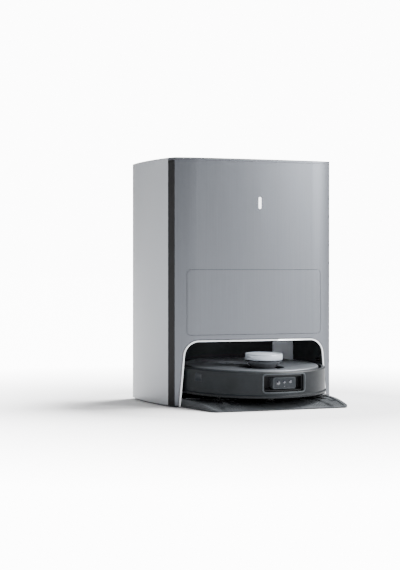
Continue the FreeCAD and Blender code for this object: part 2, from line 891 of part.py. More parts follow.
def tanks():
    for label, sign in (("clean", -1), ("dirty", 1)):
        gap = "tank_middle_gap"
        low_x, high_x = ("-300", f"-{gap}") if sign < 0 else (gap, "300")
        centre = f"{sign} * handle_x"
        body = common(
            f"{label}Block",
            plan_prism(f"{label}Plan", size.tank_inset, "tank_low", "tank_high"),
            box(f"{label}Zone", (low_x, "-200", "0"), (high_x, "205", "600")),
        )
        room_low, room_high = ("-300", f"-{gap} - tank_wall") if sign < 0 else (f"{gap} + tank_wall", "300")
        cavity = common(
            f"{label}Cavity",
            plan_prism(
                f"{label}CavityPlan",
                size.tank_inset + size.tank_wall,
                "tank_low + tank_wall",
                "tank_high - tank_wall",
            ),
            box(f"{label}CavityZone", (room_low, "-200", "0"), (room_high, "205 - tank_wall", "600")),
        )
        lugs, arms, bores = [], [], []
        for i, out in enumerate((-1, 1)):
            face = f"{centre} + {out} * (handle_span / 2 + 4)"
            lugs.append(
                box(
                    f"{label}Lug{i}",
                    (f"{face} - 3", "handle_y - 7", "tank_high - 1"),
                    (f"{face} + 3", "handle_y + 7", "handle_z + 7"),
                )
            )
            arm = f"{centre} + {out} * (handle_span / 2 - 3.5)"
            arms.append(
                box(
                    f"{label}Arm{i}",
                    (f"{arm} - 3.5", "handle_y - 4", "handle_z - 4"),
                    (f"{arm} + 3.5", "handle_y + handle_reach", "handle_z + 4"),
                )
            )
            bores.append(
                cylinder(
                    f"{label}LugBore{i}",
                    "handle_pin_radius + bore_clearance",
                    "6",
                    (f"{face} - 3", "handle_y", "handle_z"),
                    "x",
                )
            )
        node(f"{label}_water_tank", cut(f"{label}Tank", fuse(f"{label}Full", body, *lugs), cavity, *bores))
        pin = cylinder(
            f"{label}Pin",
            "handle_pin_radius",
            "handle_span + 12",
            (f"{centre} - handle_span / 2 - 6", "handle_y", "handle_z"),
            "x",
        )
        between = box(
            f"{label}PinGap",
            (f"{centre} - handle_span / 2 + 6", "handle_y - 20", "handle_z - 20"),
            (f"{centre} + handle_span / 2 - 6", "handle_y + 20", "handle_z + 20"),
        )
        grip = cylinder(
            f"{label}Grip",
            "handle_bar",
            "handle_span",
            (f"{centre} - handle_span / 2", "handle_y + handle_reach", "handle_z"),
            "x",
        )
        node(
            f"{label}_tank_handle",
            fuse(f"{label}Handle", cut(f"{label}Pins", pin, between), grip, *arms),
        )


# ---------------------------------------------------------------- robot: frame and shells
def robot_node(label, part):
    """Marks a piece of the robot as a sub-part, standing on the sloping floor."""
    return lean(node(label, part))


def up(height):
    """A height above the tray that the robot stands on."""
    return f"tray_floor + ({height})"


def along(y):
    """A distance behind the robot's own centre."""
    return f"robot_y + ({y})"


def disc(name, radius, low, high, x="0", y="0"):
    """An upright cylinder of the robot's, between two of its heights."""
    return cylinder(name, radius, f"({high}) - ({low})", (x, along(y), up(low)))


def block(name, low, high):
    """A block of the robot's, between two corners in its own coordinates."""
    return box(
        name, (low[0], along(low[1]), up(low[2])), (high[0], along(high[1]), up(high[2]))
    )


def robot_chassis():
    radius = "chassis_radius"
    pan = cut(
        "ChassisPan",
        disc("PanOuter", radius, "chassis_low", "body_high - 8"),
        disc("PanInner", f"{radius} - chassis_wall", "chassis_low + chassis_floor", "body_high"),
    )
    skirt = cut(
        "RearSkirt",
        disc("SkirtOuter", "skirt_radius", "chassis_low", "body_high"),
        disc("SkirtInner", f"{radius} - 1", "0", "body_high + 5"),
        block("SkirtFront", ("-300", "-300", "0"), ("300", "-4", "120")),
    )
    flange = cut(
        "RearFlange",
        disc("FlangeOuter", "skirt_radius - 1", "body_high - flange", "body_high"),
        disc("FlangeInner", "flange_inner - 2", "0", "100"),
        block("FlangeFront", ("-300", "-300", "0"), ("300", "-4", "120")),
    )
    bosses, holes = [], []
    for i, sign in enumerate((-1, 1)):
        brush_x = f"{sign} * side_brush_x"
        bosses.append(disc(f"BrushBoss{i}", "9", "chassis_low", "24", brush_x, "side_brush_y"))
        holes.append(
            disc(f"BrushHole{i}", "shaft_radius + bore_clearance", "0", "22", brush_x, "side_brush_y")
        )
        mop_x = f"{sign} * mop_x"
        bosses.append(disc(f"MopBoss{i}", "11", "chassis_low", "24", mop_x, "mop_y"))
        holes.append(
            disc(f"MopHole{i}", "mop_shaft_radius + bore_clearance", "0", "22", mop_x, "mop_y")
        )
        wheel_x = f"{sign} * wheel_x"
        holes.append(
            block(
                f"WheelWell{i}",
                (f"{wheel_x} - 14.5", "-35", "0"),
                (f"{wheel_x} + 14.5", "35", "chassis_low + 10"),
            )
        )
        bracket_x = f"{sign} * 86.5"
        bosses.append(
            block(
                f"BrushBracket{i}",
                (f"{bracket_x} - 2", "brush_y - 20", "chassis_low"),
                (f"{bracket_x} + 2", "brush_y + 20", "40"),
            )
        )
        holes.append(
            cylinder(
                f"BracketBore{i}",
                "3 + bore_clearance",
                "6",
                (f"{bracket_x} - 3", along("brush_y"), up("brush_z")),
                "x",
            )
        )
        lug_x = f"{sign} * 91"
        bosses.append(
            block(
                f"PivotLug{i}",
                (f"{lug_x} - 3", "pivot_y - 8", "chassis_low"),
                (f"{lug_x} + 3", "pivot_y + 8", "pivot_z + 8"),
            )
        )
        holes.append(
            cylinder(
                f"PivotBore{i}",
                "pivot_radius + bore_clearance",
                "8",
                (f"{lug_x} - 4", along("pivot_y"), up("pivot_z")),
                "x",
            )
        )
    well = disc("CasterWell", "27.8", "chassis_low", "34", "0", "caster_y")
    boss = disc("CasterBoss", "11", "30", "46", "0", "caster_y")
    holes.append(disc("CasterRoom", "25.4", "0", "31", "0", "caster_y"))
    holes.append(disc("CasterBore", "stem_radius + bore_clearance", "0", "44", "0", "caster_y"))
    holes.append(block("BrushGap", ("-84", "brush_y - 20.5", "0"), ("84", "brush_y + 20.5", "30")))
    holes.append(
        block(
            "ChassisWindow",
            ("camera_x - window_half - 1", "-300", "window_low - 2"),
            ("camera_x + window_half + 1", "-120", "window_high + 2"),
        )
    )
    bosses.append(
        cut(
            "FanRing",
            disc("FanCase", "fan_radius + 3", "chassis_low", "54", "fan_x", "fan_y"),
            disc("FanRoom", "fan_radius + 0.8", "26", "60", "fan_x", "fan_y"),
        )
    )
    whole = fuse("ChassisWhole", pan, skirt, flange, well, boss, *bosses)
    robot_node("robot_chassis", cut("RobotChassis", whole, *holes))


def robot_deck():
    """The plate over the robot's works, open round the dust bin and behind the camera."""
    robot_node(
        "robot_deck",
        cut(
            "RobotDeck",
            disc("DeckDisc", "chassis_radius - chassis_wall - 0.4", "deck_low", "deck_low + deck_plate"),
            block(
                "BinHole",
                ("-bin_half - 1", "bin_front_y - 1", "50"),
                ("bin_half + 1", "bin_back_y + 1", "80"),
            ),
            block(
                "CameraGap",
                ("camera_x - window_half - 1", "-200", "50"),
                ("camera_x + window_half + 1", "-138", "80"),
            ),
        ),
    )


def bumper():
    """The front half ring, with a lip at its foot and a window for the camera."""
    points = [
        (size.bumper_inner, size.bumper_low),
        (size.bumper_lip, size.bumper_low),
        (size.bumper_lip, size.bumper_low + 4),
        (size.bumper_outer, size.bumper_low + 7),
        (size.bumper_outer - 1, size.bumper_high - 2),
        (size.bumper_outer - 3, size.bumper_high),
        (size.flange_inner, size.bumper_high),
        (size.flange_inner, size.bumper_high - size.flange),
        (size.bumper_inner, size.bumper_high - size.flange),
    ]
    ring = place(turned("BumperRing", points), y="robot_y", z="tray_floor")
    reach = 300.0
    angle = math.radians(size.bumper_half_angle)
    x, y = reach * math.sin(angle), -reach * math.cos(angle)
    sector = rounded_outline([(0, 0), (-x, y), (-x, -reach), (x, -reach), (x, y)], [0] * 5)
    wedge_zone = place(prism("BumperSector", "z", sector, "0", "200"), y="robot_y")
    left, right = size.camera_x - size.window_half, size.camera_x + size.window_half
    low, high = size.tray_floor + size.window_low, size.tray_floor + size.window_high
    opening = prism(
        "BumperWindow",
        "y",
        rounded_outline([(left, low), (left, high), (right, high), (right, low)], [3.0] * 4),
        "-300",
        "robot_y - 100",
    )
    robot_node("bumper", cut("Bumper", common("BumperArc", ring, wedge_zone), opening))


def camera():
    """A recessed bezel in the bumper's window, with the camera block in the middle of it."""
    tub = common(
        "CameraTub",
        block(
            "TubBlock",
            ("camera_x - window_half + 1.5", "-176", "window_low + 1.5"),
            ("camera_x + window_half - 1.5", "-144", "window_high - 2"),
        ),
        disc("TubRound", "bumper_inner - 0.8", "0", "100"),
    )
    hollow = block(
        "TubHollow",
        ("camera_x - window_half + 4", "-200", "window_low + 4"),
        ("camera_x + window_half - 4", "-150", "window_high - 4.5"),
    )
    robot_node("camera_bezel", cut("CameraBezel", tub, hollow))
    body = block("CameraBody", ("camera_x - 25", "-171.5", "35.5"), ("camera_x + 31", "-150", "62"))
    lenses = [
        cylinder(f"Lens{i}", radius, "3", (f"camera_x + {x}", along("-172.5"), up(z)), "y")
        for i, (x, z, radius) in enumerate((("19", "50", "5"), ("-12", "47", "4"), ("3", "49", "2.5")))
    ]
    robot_node("camera_module", fuse("CameraModule", body, *lenses))


def top_cover():
    plate = disc("CoverPlate", "cover_radius", "cover_low", "cover_high")
    rim = cut(
        "CoverRim",
        disc("CoverRimOut", "cover_radius", "cover_skirt_low", "cover_low + 1"),
        disc("CoverRimIn", "cover_radius - 2.5", "0", "100"),
    )
    hole = disc("CoverHole", "turret_hole", "0", "100", "0", "turret_y")
    robot_node("top_cover", cut("TopCover", fuse("CoverWhole", plate, rim), hole))


def turret():
    """The laser turret: a bowl-shaped base, three posts, a cap on them and a spinning head."""
    low, high = size.turret_base_low, size.turret_base_high
    bowl = [(0, low), (34, low), (34, low + 7), (25, low + 10), (31, low + 15), (38, low + 22)]
    bowl += [(41, high), (0, high)]
    base = place(turned("TurretBowl", bowl), y=along("turret_y"), z="tray_floor")
    posts = []
    for i in range(3):
        angle = math.radians(90 + 120 * i)
        x, y = 33.5 * math.cos(angle), 33.5 * math.sin(angle)
        foot, head = f"{high - 2}", "turret_cap_high - 3"
        posts.append(disc(f"TurretPost{i}", "1.8", foot, head, f"{x}", f"turret_y + {y}"))
    bore = disc("TurretBore", "shaft_radius + bore_clearance", f"{high - 14}", "200", "0", "turret_y")
    robot_node("turret_base", cut("TurretBase", fuse("TurretBody", base, *posts), bore))
    cap = cut(
        "CapShell",
        disc("CapOuter", "turret_cap_radius", "turret_cap_low", "turret_cap_high", "0", "turret_y"),
        disc("CapInner", "turret_cap_radius - 3", "0", "turret_cap_high - 3", "0", "turret_y"),
        disc("CapDish", "turret_cap_radius - 9", "turret_cap_high - 1", "200", "0", "turret_y"),
    )
    robot_node("turret_cap", cap)
    head = disc("RotorHead", "27", f"{high + 1.5}", "turret_cap_high - 6", "0", "turret_y")
    shaft = disc("RotorShaft", "shaft_radius", f"{high - 12}", f"{high + 2}", "0", "turret_y")
    eye_low, eye_high = f"{high + 4}", "turret_cap_high - 9"
    eye = block("RotorEye", ("-12", "turret_y - 30", eye_low), ("12", "turret_y - 20", eye_high))
    robot_node("turret_rotor", cut("TurretRotor", fuse("RotorWhole", head, shaft), eye))


def robot_inner_parts():
    front, back = "bin_front_y", "bin_back_y"
    shell = block("BinBlock", ("-bin_half", front, "bin_low"), ("bin_half", back, "bin_high"))
    cavity = block(
        "BinCavity",
        ("-bin_half + bin_wall", "bin_front_y + bin_wall", "bin_low + bin_wall"),
        ("bin_half - bin_wall", "bin_back_y - bin_wall", "bin_high - bin_wall"),
    )
    inlet = block("BinInlet", ("-30", "bin_front_y - 5", "24"), ("30", "bin_front_y + 5", "44"))
    robot_node("dust_bin", cut("DustBin", shell, cavity, inlet))
    cells = block("BatteryCells", ("-70", "82", "26"), ("70", "140", "56"))
    plug = block("BatteryPlug", ("-15", "78", "36"), ("15", "83", "48"))
    robot_node("battery", fuse("Battery", cells, plug))
    wheel = impeller("RobotImpeller", "fan_radius", up("26.5"), "22", "fan_x", along("fan_y"), 9)
    robot_node("fan_impeller", wheel)
    board = block("BoardPlate", ("-78", "-98", "48"), ("78", "-30", "50"))
    chips = [
        block(f"BoardChip{i}", (x, y, "49"), (f"{x} + 16", f"{y} + 16", "53"))
        for i, (x, y) in enumerate((("-60", "-80"), ("-10", "-60"), ("40", "-84")))
    ]
    robot_node("main_board", fuse("MainBoard", board, *chips))


# ---------------------------------------------------------------- robot: what turns
def drive_wheels():
    middle = "wheel_radius + ground_gap"
    for side, sign in (("left", -1), ("right", 1)):
        centre = f"{sign} * wheel_x"
        hub = cylinder(
            f"{side}Hub",
            "wheel_radius - 5",
            "wheel_width",
            (f"{centre} - wheel_width / 2", along("0"), up(middle)),
            "x",
        )
        bore = cylinder(
            f"{side}HubBore",
            "pivot_radius + bore_clearance",
            "wheel_width + 2",
            (f"{centre} - wheel_width / 2 - 1", along("0"), up(middle)),
            "x",
        )
        robot_node(f"{side}_wheel", cut(f"{side}Wheel", hub, bore))
        tread = cylinder(
            f"{side}Tread",
            "wheel_radius",
            "wheel_width",
            (f"{centre} - wheel_width / 2", along("0"), up(middle)),
            "x",
        )
        seat = cylinder(
            f"{side}Seat",
            "wheel_radius - 5",
            "wheel_width + 2",
            (f"{centre} - wheel_width / 2 - 1", along("0"), up(middle)),
            "x",
        )
        robot_node(f"{side}_tyre", cut(f"{side}Tyre", tread, seat))
        plate_x = f"{sign} * 99"
        arm = block(
            f"{side}ArmPlate",
            (f"{plate_x} - 2.5", "-8", "pivot_z - 15"),
            (f"{plate_x} + 2.5", "pivot_y + 6", "pivot_z + 5"),
        )
        stub = cylinder(
            f"{side}Stub",
            "pivot_radius",
            "wheel_width + 7",
            (f"{sign} * 111 - 13.5", along("0"), up(middle)),
            "x",
        )
        pin = cylinder(
            f"{side}PivotPin",
            "pivot_radius",
            "10",
            (f"{sign} * 93.5 - 5", along("pivot_y"), up("pivot_z")),
            "x",
        )
        robot_node(f"{side}_wheel_arm", fuse(f"{side}Arm", arm, stub, pin))


def caster():
    plate = disc("CasterPlate", "18", "27", "30", "0", "caster_y")
    stem = disc("CasterStem", "stem_radius", "29", "43.5", "0", "caster_y")
    axle_y, axle_z = "caster_y + caster_trail", "caster_radius + ground_gap"
    cheeks = [
        block(
            f"CasterCheek{i}",
            (f"{x}", f"{axle_y} - 4", f"{axle_z} - 4"),
            (f"{x} + 2.5", f"{axle_y} + 4", "28"),
        )
        for i, x in enumerate(("-10.5", "8"))
    ]
    bores = cylinder("CheekBore", "2 + bore_clearance", "30", ("-15", along(axle_y), up(axle_z)), "x")
    robot_node("caster_fork", cut("CasterFork", fuse("ForkWhole", plate, stem, *cheeks), bores))
    roller = cylinder(
        "Roller", "caster_radius", "caster_width", ("-caster_width / 2", along(axle_y), up(axle_z)), "x"
    )
    axle = cylinder("RollerAxle", "2", "21", ("-10.5", along(axle_y), up(axle_z)), "x")
    robot_node("caster_wheel", fuse("CasterWheel", roller, axle))


def main_brush():
    core = cylinder(
        "BrushCore",
        "brush_core",
        "2 * brush_half",
        ("-brush_half", along("brush_y"), up("brush_z")),
        "x",
    )
    pegs = cylinder(
        "BrushPegs",
        "3",
        "2 * brush_half + 13",
        ("-brush_half - 6.5", along("brush_y"), up("brush_z")),
        "x",
    )
    fins = []
    count = int(size.brush_fins)
    for i in range(count):
        fin = new("Part::Box", f"BrushFin{i}")
        fin.setExpression("Length", bound("2 * brush_half"))
        fin.setExpression("Width", bound("brush_radius"))
        fin.setExpression("Height", bound("2"))
        fins.append(
            place(
                fin, "-brush_half", along("brush_y"), up("brush_z"), turn=((1, 0, 0), 360.0 * i / count)
            )
        )
    robot_node("main_brush", fuse("MainBrush", core, pegs, *fins))
    low, high = "chassis_low - 3.2", "chassis_low"
    plate = block("GuardPlate", ("-94", "brush_y - 27", low), ("94", "brush_y + 27", high))
    gap = block("GuardGap", ("-84", "brush_y - 20.5", "0"), ("84", "brush_y + 20.5", "20"))
    robot_node("brush_guard", cut("BrushGuard", plate, gap))


def side_brushes():
    for side, sign in (("left", -1), ("right", 1)):
        x, y = f"{sign} * side_brush_x", "side_brush_y"
        hub = disc(f"{side}BrushHub", "12", "3", "9", x, y)
        shaft = disc(f"{side}BrushShaft", "shaft_radius", "8", "21", x, y)
        arms = []
        for i in range(int(size.side_brush_arms)):
            arm = new("Part::Box", f"{side}BrushArm{i}")
            arm.setExpression("Length", bound("side_brush_reach"))
            arm.setExpression("Width", "5")
            arm.setExpression("Height", "1.8")
            turn = ((0, 0, 1), sign * -360.0 * i / size.side_brush_arms + (140 if sign < 0 else 40))
            arms.append(place(arm, x, along(y), up("4.6"), turn=turn))
        robot_node(f"{side}_side_brush", fuse(f"{side}SideBrush", hub, shaft, *arms))


def mops():
    for side, sign in (("left", -1), ("right", 1)):
        x, y = f"{sign} * mop_x", "mop_y"
        pad = disc(f"{side}Pad", "mop_radius", "0.4", "6", x, y)
        plate = disc(f"{side}Plate", "mop_plate_radius", "6", "10", x, y)
        shaft = disc(f"{side}MopShaft", "mop_shaft_radius", "9", "21", x, y)
        robot_node(f"{side}_mop", fuse(f"{side}Mop", pad, plate, shaft))


side_panels()
rear_panel()
corner_strips()
front_fascia()
access_door()
arch_pieces()
lid()
base_tray()
wash_tray()
feet()
bay_housing()
duct_cover()
charge_contacts()
dust_chamber()
dust_bag()
suction_duct()
vacuum_unit()
station_inner_parts()
tank_deck()
tanks()
robot_chassis()
robot_deck()
bumper()
camera()
top_cover()
turret()
robot_inner_parts()
drive_wheels()
caster()
main_brush()
side_brushes()
mops()

# ---------------------------------------------------------------- check and write
doc.recompute()
faults = [o.Name for o in doc.Objects if {"Invalid", "Error"} & set(o.State)]
for part in NODES:
    if part.Shape.isNull() or not part.Shape.isValid() or not part.Shape.Solids:
        faults.append(part.Label)
if faults:
    raise SystemExit(f"these objects failed: {faults}")

os.makedirs("parts", exist_ok=True)
for part in NODES:
    part.Shape.exportStep(f"parts/{part.Label}.step")
print(len(NODES), "sub-parts written")
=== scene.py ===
# %% [markdown]
# # A robot vacuum parked in its station
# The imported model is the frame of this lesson. Its solids are never moved or changed. Each
# gets a real finish, and the ones that need more shape than plain solids have, such as the
# turret, the brushes, the mops and the tyres, get finer pieces in their places.

# %% Load the frame
import json
import math
import random

import bmesh
import bpy
from mathutils import Matrix, Vector, noise
from mathutils.bvhtree import BVHTree


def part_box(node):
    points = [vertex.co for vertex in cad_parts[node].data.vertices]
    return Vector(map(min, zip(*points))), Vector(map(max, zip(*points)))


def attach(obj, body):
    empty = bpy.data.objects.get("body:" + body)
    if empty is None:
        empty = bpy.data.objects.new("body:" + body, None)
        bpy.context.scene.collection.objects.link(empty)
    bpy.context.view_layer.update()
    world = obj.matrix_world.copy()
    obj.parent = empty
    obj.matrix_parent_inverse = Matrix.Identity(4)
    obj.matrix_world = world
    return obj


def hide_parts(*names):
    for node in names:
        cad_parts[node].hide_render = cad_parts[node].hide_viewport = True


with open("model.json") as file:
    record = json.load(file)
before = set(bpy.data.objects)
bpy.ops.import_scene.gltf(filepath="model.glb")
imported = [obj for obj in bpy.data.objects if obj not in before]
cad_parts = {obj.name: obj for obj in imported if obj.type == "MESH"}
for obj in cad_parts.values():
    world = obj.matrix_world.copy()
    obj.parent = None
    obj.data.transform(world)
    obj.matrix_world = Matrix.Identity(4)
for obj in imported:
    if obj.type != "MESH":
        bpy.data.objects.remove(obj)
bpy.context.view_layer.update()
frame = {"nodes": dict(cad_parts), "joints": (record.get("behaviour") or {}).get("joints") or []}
NODES = frame["nodes"]
JOINTS = {joint["name"]: joint for joint in frame["joints"]}
MM = 0.001

# %% [markdown]
# The robot stands on a floor that slopes down towards the front. Its pieces are easiest to
# draw upright, in the robot's own frame, and to place afterwards. The docking joint gives
# the slope, and the two wheels give the point on the floor below the robot's middle.

# %% The robot's own frame
GROUND_GAP = 0.3 * MM  # the tyres hover this far over the tray, so that they turn freely
drive_out = Vector(JOINTS["robot_docking"]["axis"])
TILT = math.atan2(-drive_out.z, -drive_out.y)
UPRIGHT = Vector((0, -math.sin(TILT), math.cos(TILT)))
tyre_low, tyre_high = (Vector(corner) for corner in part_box("left_tyre"))
TYRE_RADIUS = (tyre_high.z - tyre_low.z) / 2
hub_middle = (tyre_low + tyre_high) / 2
standing = Vector((0, hub_middle.y, hub_middle.z)) - UPRIGHT * (TYRE_RADIUS + GROUND_GAP)
ROBOT = Matrix.Translation(standing) @ Matrix.Rotation(TILT, 4, "X")
STATION = Matrix()
print("floor point", [round(v, 4) for v in standing], "slope", round(math.degrees(TILT), 2))


def span(node, home=STATION):
    """The low and high corners of a node, in millimetres of the robot's or station's frame."""
    back = home.inverted()
    points = [back @ vertex.co for vertex in NODES[node].data.vertices]
    return [Vector([pick(p[i] for p in points) / MM for i in range(3)]) for pick in (min, max)]


def middle(node, home=STATION):
    """The centre of a node's span."""
    low, high = span(node, home)
    return (low + high) / 2


# %% [markdown]
# Every finish is a small node tree on Object coordinates, which are metres here, so a
# pattern's scale is one over its real size. One helper turns an sRGB colour into linear
# light, and one adds a node with its settings and links.

# %% Helpers for the finishes
def linear(hex_colour):
    """An sRGB hex colour as linear RGBA."""
    parts = [int(hex_colour[i : i + 2], 16) / 255 for i in (1, 3, 5)]
    return tuple(c / 12.92 if c <= 0.04045 else ((c + 0.055) / 1.055) ** 2.4 for c in parts) + (1,)


def add(tree, kind, inputs=None, **settings):
    """One node with its settings; each input is a value, or a socket to link from."""
    node = tree.nodes.new(kind)
    for key, value in settings.items():
        setattr(node, key, value)
    for key, value in (inputs or {}).items():
        if isinstance(value, bpy.types.NodeSocket):
            tree.links.new(value, node.inputs[key])
        else:
            node.inputs[key].default_value = value
    return node


def new_finish(name, colour, rough, shader_values=()):
    """A Principled material with its constants set, its tree, shader and coordinates."""
    finish = bpy.data.materials.new(name)
    finish.use_nodes = True
    tree = finish.node_tree
    shader = tree.nodes["Principled BSDF"]
    shader.inputs["Base Color"].default_value = linear(colour)
    shader.inputs["Roughness"].default_value = rough
    for key, value in dict(shader_values).items():
        shader.inputs[key].default_value = value
    place = add(tree, "ShaderNodeTexCoord").outputs["Object"]
    return finish, tree, shader, place


def grains(tree, place, size_mm, stretch=(1, 1, 1), detail=2.0):
    """Noise with grains about size_mm across, drawn out by stretch along each axis."""
    scale = tuple(1 / s for s in stretch)
    spread = add(tree, "ShaderNodeMapping", {"Vector": place, "Scale": scale})
    values = {"Vector": spread.outputs[0], "Scale": 1 / (size_mm * MM), "Detail": detail}
    return add(tree, "ShaderNodeTexNoise", values).outputs["Fac"]


def between(tree, fac, low, high):
    """Noise, which is mostly between 0.3 and 0.7, spread over the values low to high."""
    ends = {"Value": fac, "From Min": 0.3, "From Max": 0.7, "To Min": low, "To Max": high}
    return add(tree, "ShaderNodeMapRange", ends).outputs[0]


def blend_colours(tree, fac, dark, light):
    """A colour between two hex colours, by a factor."""
    ends = {0: fac, 6: linear(dark), 7: linear(light)}
    return add(tree, "ShaderNodeMix", ends, data_type="RGBA").outputs[2]


def raise_grain(tree, shader, height, depth_mm):
    """Bump of a real depth from a height between 0 and 1."""
    bump = add(tree, "ShaderNodeBump", {"Height": height, "Distance": depth_mm * MM})
    tree.links.new(bump.outputs[0], shader.inputs["Normal"])


def lines_finish(name, dark, light, rough, size_mm, stretch, depth_mm, shader_values=()):
    """A finish whose colour, roughness and bump all follow one noise, drawn out or not."""
    finish, tree, shader, place = new_finish(name, light, rough, shader_values)
    fine = grains(tree, place, size_mm, stretch, 3.0)
    colour = blend_colours(tree, between(tree, fine, 0, 1), dark, light)
    tree.links.new(colour, shader.inputs["Base Color"])
    tree.links.new(between(tree, fine, rough - 0.02, rough + 0.02), shader.inputs["Roughness"])
    raise_grain(tree, shader, fine, depth_mm)
    return finish


# %% [markdown]
# Moulded plastic takes its skin from the steel mould. Spark erosion leaves a grain of about
# a millimetre, and a thick wall cools unevenly, so the colour drifts a little over 45 mm.

# %% Moulded plastics
def moulded(name, dark, light, rough, grain_mm=0.9, depth_mm=0.03, shader_values=()):
    """Injection-moulded plastic: fine eroded grain, with a very slight drift of colour."""
    finish, tree, shader, place = new_finish(name, light, rough, shader_values)
    drift = between(tree, grains(tree, place, 45), 0, 1)
    tree.links.new(blend_colours(tree, drift, dark, light), shader.inputs["Base Color"])
    eroded = grains(tree, place, grain_mm, detail=3.0)
    tree.links.new(between(tree, eroded, rough - 0.06, rough + 0.08), shader.inputs["Roughness"])
    raise_grain(tree, shader, eroded, depth_mm)
    return finish


LACQUER = {"Coat Weight": 0.25, "Coat Roughness": 0.2}
MATT = {"Specular IOR Level": 0.12}  # a dark eroded skin mirrors less than smooth plastic
STRIP_BLACK = moulded("satin_black_abs", "#0D0E0F", "#121314", 0.45, 1.5, 0.01, MATT)
BAY_BLACK = moulded("grained_black_abs", "#17181A", "#1F2123", 0.55, 1.0, 0.04, MATT)
TRAY_BLACK = moulded("grained_charcoal_pp", "#36393C", "#404346", 0.5, 1.0, 0.05, MATT)
BUMPER_BLACK = moulded("satin_charcoal_abs", "#16191B", "#1C1F22", 0.42, 1.6, 0.01, MATT)
CHASSIS_BLACK = moulded("matt_black_abs", "#131416", "#1A1B1D", 0.5, 0.9, 0.04, MATT)
TAB_GREY = moulded("satin_grey_abs", "#9DA3AB", "#ABB1B9", 0.42, 1.2, 0.02)
RIM_GREY = moulded("satin_slate_abs", "#34383B", "#3E4245", 0.42, 1.2, 0.01, MATT)
BOWL_GREY = moulded("satin_mid_grey_abs", "#484B50", "#55585D", 0.4, 1.2, 0.01)
PEARL = {"Metallic": 0.35, "Coat Weight": 0.3, "Coat Roughness": 0.15}
TURRET_SILVER = moulded("pearl_silver_abs", "#A4ACB5", "#B4BCC5", 0.32, 1.4, 0.01, PEARL)
GUT_GREY = moulded("natural_grey_pp", "#5B5E62", "#6B6E72", 0.5)
FAN_WHITE = moulded("natural_white_nylon", "#C9C8C2", "#D8D7D1", 0.45)
CELL_WRAP = moulded("blue_shrink_sleeve", "#23364F", "#2C4262", 0.28, 2.5, 0.05)
SEAL_BLUE = moulded("soft_blue_tpe", "#4E6C8C", "#5F7E9F", 0.6, 0.8, 0.03)
WINDOW = moulded("smoked_acrylic", "#08090B", "#0D0F12", 0.08, 3.0, 0.002, {"Coat Weight": 0.6})
SMOKE_GREY = moulded("smoked_grey_acrylic", "#1E2226", "#26292D", 0.34, 2.0, 0.004, MATT)
LENS = moulded("coated_lens_glass", "#10131C", "#1A2030", 0.04, 3.0, 0.001, {"Coat Weight": 1.0})
RUBBER = moulded("moulded_rubber", "#151617", "#1F2021", 0.72, 0.8, 0.06)
BRISTLE = moulded("nylon_bristle", "#2A2D30", "#43474B", 0.4, 1.0, 0.02)
print("moulded plastics", len(bpy.data.materials))

# %% [markdown]
# The side panels are ABS sprayed with a satin silver paint. Flakes of aluminium in it give
# a soft metallic sheen. Real flakes are 0.02 mm across, too fine to show, so they are drawn
# 0.8 mm across. The front is a sheet of dark anodised aluminium with an upright hairline
# brush, whose lines are drawn 1.1 mm apart for the same reason.

# %% Painted and anodised panels
PAINT = {"Metallic": 0.5, "Coat Weight": 0.15, "Coat Roughness": 0.35}
SILVER = lines_finish(
    "satin_silver_paint", "#8F9297", "#9EA1A5", 0.42, 0.8, (1, 1, 1), 0.015, PAINT
)
METAL, THIN_OXIDE = {"Metallic": 1.0}, {"Metallic": 0.6}
sheet = ("#606368", "#64676C", 0.34, 1.1, (1, 1, 160), 0.004, METAL)
FRONT = lines_finish("brushed_dark_anodised_sheet", *sheet)
edge = ("#D3D6DA", "#E6E9EC", 0.3, 0.8, (20, 1, 1), 0.005, THIN_OXIDE)
TRIM = lines_finish("satin_anodised_trim", *edge)
drawn = ("#B2B4B7", "#C8CACD", 0.25, 0.8, (20, 1, 1), 0.005, METAL)
STEEL = lines_finish("drawn_steel", *drawn)
plated = ("#C9C6BE", "#DEDBD3", 0.2, 0.8, (1, 1, 20), 0.003, METAL)
NICKEL = lines_finish("nickel_plate", *plated)
print("panels and metals", SILVER.name, FRONT.name, TRIM.name)

# %% [markdown]
# The robot's top plate is dark anodised too, but it was spun: its hairlines are rings round
# the middle. A Mapping node moves the origin to the robot's centre, and noise that runs on
# the distance from there makes the rings.

# %% Spun top plate
def spun_plate():
    """Dark anodised aluminium with hairline rings round the robot's centre."""
    rough = 0.42
    finish, tree, shader, place = new_finish("spun_dark_plate", "#6A6E73", rough, {"Metallic": 0.5})
    centred = add(tree, "ShaderNodeMapping", {"Vector": place, "Location": tuple(-standing)})
    flat = {0: centred.outputs[0], 1: (1, 1, 0)}
    level = add(tree, "ShaderNodeVectorMath", flat, operation="MULTIPLY")
    distance = add(tree, "ShaderNodeVectorMath", {0: level.outputs[0]}, operation="LENGTH")
    run = add(tree, "ShaderNodeCombineXYZ", {"X": distance.outputs["Value"]}).outputs[0]
    rings = grains(tree, run, 0.9, detail=3.0)
    colour = blend_colours(tree, between(tree, rings, 0, 1), "#4A4E53", "#5A5E63")
    tree.links.new(colour, shader.inputs["Base Color"])
    tree.links.new(between(tree, rings, rough - 0.05, rough + 0.05), shader.inputs["Roughness"])
    raise_grain(tree, shader, rings, 0.008)
    return finish


PLATE = spun_plate()
print("made", PLATE.name)

# %% [markdown]
# Cloth and fleece scatter light at grazing angles, which Sheen gives. The mop's pile is
# loose microfibre. The bag is pressed fleece with bonding spots 5 mm apart, and its collar
# is card with a fine, cloudy felt of fibres.

# %% Cloth, fleece and card
NAP = {"Sheen Weight": 0.6}
PILE = moulded("microfibre_pile", "#5F656B", "#7D848B", 0.9, 1.2, 0.12, NAP)
CARD = moulded("pressed_card", "#BDB8AC", "#D0CBBF", 0.8, 1.4, 0.08)


